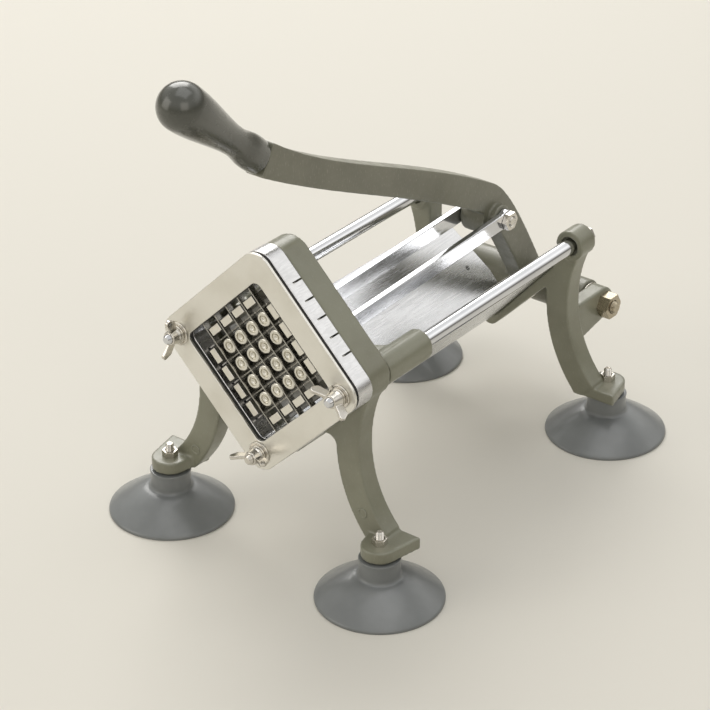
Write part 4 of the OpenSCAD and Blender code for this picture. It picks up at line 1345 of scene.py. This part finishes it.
@dataclass
class Pusher:
    """The carriage on the rods with its plate and the fingers that enter the grid."""

    at: Layout
    sleeve_r: float = 10.0
    sleeve_l: float = 41.0
    finger_d: float = 9.4
    edge_w: float = 5.0
    plate_t: float = 6.0

    def build(self) -> None:
        """Builds the carriage, the plate, its screws and the fingers."""
        self.carriage()
        self.plate()
        self.fingers()

    @property
    def plate_y(self) -> float:
        """Front face of the pusher plate."""
        return self.at.ring_y + 5.4

    def carriage(self) -> None:
        """Builds the sleeves, the arms, the spine and the lugs as one melt, then bores and slots it."""
        a = self.at
        y0, z0 = a.ring_back_y + 1.5, a.head_z
        spine_y = self.plate_y + self.plate_t
        arm_x, arm_d = 18.8, 10.0
        spine = [(-40.94, spine_y), (40.94, spine_y), (40.94, y0 + 1), (-40.94, y0 + 1)]
        arm = [(arm_x, y0), (a.rod_x, y0), (a.rod_x, y0 + 2.2 * arm_d), (a.rod_x - 7, y0 + 1.6 * arm_d),
            (a.rod_x - 17, y0 + arm_d), (arm_x, y0 + arm_d)]
        tube = (a.ring_back_y + 1, a.ring_back_y + 1 + self.sleeve_l)
        sleeve = lathe("sleeve", [(0, tube[0]), (self.sleeve_r, tube[0]), (self.sleeve_r, tube[1]),
            (0, tube[1])], (a.rod_x, 0, z0), Axis.Y, 72)
        back = a.pin_y + 10.5
        lug = [(y0 - 2, z0 - 14), (back, z0 - 14), (back, z0 + 28), (a.pin_y, z0 + 31), (y0, z0 + 25),
            (y0 - 2, z0 + 10)]
        shells = [prism("spine", spine, Axis.Z, z0 - 10, z0 + 10)]
        for part in (prism("arm", arm, Axis.Z, z0 - 8, z0 + 8), sleeve, prism("lug", lug, Axis.X, 4, 11)):
            shells += [part, mirrored(part, part.name)]
        casting = fuse("pusher_carriage_dressed", shells, 0.8, 2)
        for x in (-a.rod_x, a.rod_x):
            bore(casting, Axis.Y, tube[0] - 1, tube[1] + 1, (x, z0), 5.12)
        slot = arc((a.pin_y, z0), 6, 180, 360, 12) + arc((a.pin_y, z0 + 19), 6, 0, 180, 12)
        cut(casting, prism("slot", slot, Axis.X, -13, 13))
        dress(casting, CAST, Body.PUSHER, "pusher_carriage")

    def plate(self) -> None:
        """Builds the pusher plate and its two screws."""
        a, y = self.at, self.plate_y
        plate = prism("pusher_plate_dressed", diamond(a.open_half - 2.4, 5, a.head_z), Axis.Y, y,
            y + self.plate_t)
        screws = []
        for x in (-26, 26):
            cut(plate, lathe("sink", [(0, y - 1), (3.8, y - 1), (3.8, y + 2.6), (2.2, y + 2.6), (2.2, y + 7),
                (0, y + 7)], (x, 0, a.head_z), Axis.Y, 40))
            head = [(0, y + 1.2), (1.2, y + 1.2), (1.4, y + 0.3), (3.1, y + 0.3), (3.6, y + 0.8),
                (3.6, y + 2.6), (2, y + 2.6), (2, y + 13), (0, y + 13)]
            screws.append(shade(lathe("screw", head, (x, 0, a.head_z), Axis.Y, 40), 30))
        dress(soften(plate, 0.5, 3), PUSHER, Body.PUSHER, "pusher_plate")
        dress(join("pusher_screws_dressed", screws), NICKEL, Body.PUSHER, "pusher_screws")

    def fingers(self) -> None:
        """Builds the round fingers with their turned ends and the flat ones along the border."""
        a = self.at
        tip, root, r = a.at(6), self.plate_y, self.finger_d / 2
        profile = [(0, tip + 0.9), (0.9, tip + 0.5), (1.3, tip), (1.9, tip), (2.1, tip + 0.9),
            (2.75, tip + 1.0), (3.0, tip + 0.05), (3.2, tip), (r - 0.5, tip), (r - 0.1, tip + 0.3),
                (r, tip + 0.8), (r, root), (0, root)]
        finger = shade(lathe("finger", profile, (0, 0, 0), Axis.Y, 40), 30)
        inner, border = range(1, a.cells - 1), (0, a.cells - 1)
        spots = [a.in_head(a.cell_at(i), a.cell_at(j)) for i in inner for j in inner]
        dress(copies(finger, "round_fingers_dressed", spots), FINGER, Body.PUSHER, "round_fingers")
        w = self.edge_w / 2
        flat = soften(prism("flat", [(-r, -w), (r, -w), (r, w), (-r, w)], Axis.Y, tip - 2, root), 0.45, 3)
        quarter = Matrix.Rotation(math.radians(90), 4, "Y")
        spots = []
        for i in inner:
            for j in border:
                spots.append(a.in_head(a.cell_at(i), a.cell_at(j)) @ quarter @ quarter)
                spots.append(a.in_head(a.cell_at(j), a.cell_at(i)) @ quarter)
        dress(copies(flat, "edge_fingers_dressed", spots), FINGER, Body.PUSHER, "edge_fingers")


@dataclass
class Studio:
    """Plain floor, soft lights and the camera at the photograph's angle."""

    at: Layout
    eye: Triple = (917.99, -1084.97, 948.13)
    azimuth: float = 37.936
    elevation: float = 29.577
    roll: float = -0.251
    lens: float = 141.54
    floor_colour: Triple = (224, 221, 212)
    window_light: float = 0.65

    def build(self) -> None:
        """Sets up the camera, the floor, the lamps and the world."""
        bpy.context.scene.view_settings.view_transform = "Standard"
        self.camera()
        self.floor()
        self.lamps()
        self.world()

    def camera(self) -> None:
        """Creates the camera at the photograph's viewpoint."""
        a, e, r = (math.radians(v) for v in (self.azimuth, self.elevation, self.roll))
        back = Vector((math.sin(a) * math.cos(e), -math.cos(a) * math.cos(e), math.sin(e)))
        right = Vector((math.cos(a), math.sin(a), 0))
        up = back.cross(right)
        side = right * math.cos(r) + up * math.sin(r)
        top = up * math.cos(r) - right * math.sin(r)
        x, y, z = self.eye
        place = Vector((x, self.at.at(y), z)) * MM
        bpy.ops.object.camera_add()
        camera = bpy.context.object
        camera.data.lens = self.lens
        camera.data.sensor_width = 36
        camera.data.clip_start, camera.data.clip_end = 0.05, 50
        turned = Matrix((side, top, back)).transposed().to_4x4()
        camera.matrix_world = Matrix.Translation(place) @ turned
        bpy.context.scene.camera = camera

    def floor(self) -> None:
        """Lays a wide pale floor under the cups."""
        bpy.ops.object.select_all(action="DESELECT")
        bpy.ops.mesh.primitive_plane_add(size=12, location=(0, 0, 0))
        floor = bpy.context.object
        floor.name = "floor"
        board = NodeBoard("pale_floor")
        board.fix(Roughness=0.85, Specular_IOR_Level=0.15)
        board.shader.inputs["Base Color"].default_value = linear(self.floor_colour)
        floor.data.materials.append(board.material)

    def lamp(self, name: str, place: Triple, size: float, power: float, colour: Triple) -> None:
        """Adds a soft square lamp that looks at the object."""
        bpy.ops.object.light_add(type="AREA", location=place)
        lamp = bpy.context.object
        lamp.name = name
        lamp.data.shape = "SQUARE"
        lamp.data.size = size
        lamp.data.energy = power
        lamp.data.color = linear(colour)[:3]
        aim = Vector((0, 0.05, 0.12)) - Vector(place)
        lamp.rotation_euler = aim.to_track_quat("-Z", "Y").to_euler()

    def lamps(self) -> None:
        """Adds the key lamp behind on the left, a top lamp and a weak fill."""
        self.lamp("key", (-1.7, 1.5, 2.1), 2.0, 50, (255, 253, 250))
        self.lamp("top", (0.2, 0.1, 2.8), 2.2, 20, (255, 255, 255))
        self.lamp("fill", (2.0, -1.6, 1.5), 1.6, 9, (255, 248, 236))
        self.lamp("front", (-1.5, -1.9, 1.1), 1.6, 13, (255, 250, 240))

    def world(self) -> None:
        """Sets an even soft sky, and a brighter room with a dark side for mirror surfaces."""
        world = bpy.data.worlds.new("soft_room")
        bpy.context.scene.world = world
        world.use_nodes = True
        nodes, links = world.node_tree.nodes, world.node_tree.links
        nodes.clear()
        out = nodes.new("ShaderNodeOutputWorld")
        mixer = nodes.new("ShaderNodeMixShader")
        sky, room = nodes.new("ShaderNodeBackground"), nodes.new("ShaderNodeBackground")
        sky.inputs["Color"].default_value = linear((252, 250, 246))
        sky.inputs["Strength"].default_value = 0.42
        coords = nodes.new("ShaderNodeTexCoord")
        split = nodes.new("ShaderNodeSeparateXYZ")
        links.new(coords.outputs["Generated"], split.inputs["Vector"])
        ramp = nodes.new("ShaderNodeValToRGB")
        stops = ((0.0, (196, 190, 178)), (0.1, (120, 116, 108)), (0.28, (206, 204, 200)),
            (0.55, (255, 254, 251)), (1.0, (224, 224, 224)))
        while len(ramp.color_ramp.elements) < len(stops):
            ramp.color_ramp.elements.new(0.5)
        for element, (spot, colour) in zip(ramp.color_ramp.elements, stops, strict=True):
            element.position = spot
            element.color = linear(colour)
        links.new(split.outputs["Z"], ramp.inputs["Fac"])
        window = None
        for axis, span in (("Y", (0.15, 0.6)), ("Z", (0.22, 0.42)), ("Z", (0.8, 0.55))):
            edge = nodes.new("ShaderNodeMapRange")
            edge.interpolation_type = "SMOOTHSTEP"
            edge.inputs["From Min"].default_value, edge.inputs["From Max"].default_value = span
            edge.inputs["To Max"].default_value = 1.0 if window else self.window_light
            links.new(split.outputs[axis], edge.inputs["Value"])
            if window:
                both = nodes.new("ShaderNodeMath")
                both.operation = "MULTIPLY"
                links.new(window, both.inputs[0])
                links.new(edge.outputs["Result"], both.inputs[1])
                window = both.outputs[0]
            else:
                window = edge.outputs["Result"]
        total = nodes.new("ShaderNodeMath")
        links.new(window, total.inputs[0])
        total.inputs[1].default_value = 0.85
        links.new(total.outputs[0], room.inputs["Strength"])
        links.new(ramp.outputs["Color"], room.inputs["Color"])
        path = nodes.new("ShaderNodeLightPath")
        seen = path.outputs["Is Camera Ray"]
        for ray in ("Is Glossy Ray", "Is Transmission Ray"):
            either = nodes.new("ShaderNodeMath")
            either.operation = "MAXIMUM"
            links.new(seen, either.inputs[0])
            links.new(path.outputs[ray], either.inputs[1])
            seen = either.outputs[0]
        links.new(seen, mixer.inputs["Fac"])
        links.new(sky.outputs[0], mixer.inputs[1])
        links.new(room.outputs[0], mixer.inputs[2])
        links.new(mixer.outputs[0], out.inputs["Surface"])


def main() -> None:
    """Builds the studio and the press piece by piece."""
    logging.basicConfig(level=logging.INFO, format="%(message)s")
    at = Layout()
    Studio(at).build()
    for part in (CuttingHead(at), FrontCasting(at), RearCasting(at), GuideRods(at), Trough(at), Feet(at),
        Lever(at), Links(at), Pusher(at)):
        part.build()


if __name__ == "__main__":
    main()
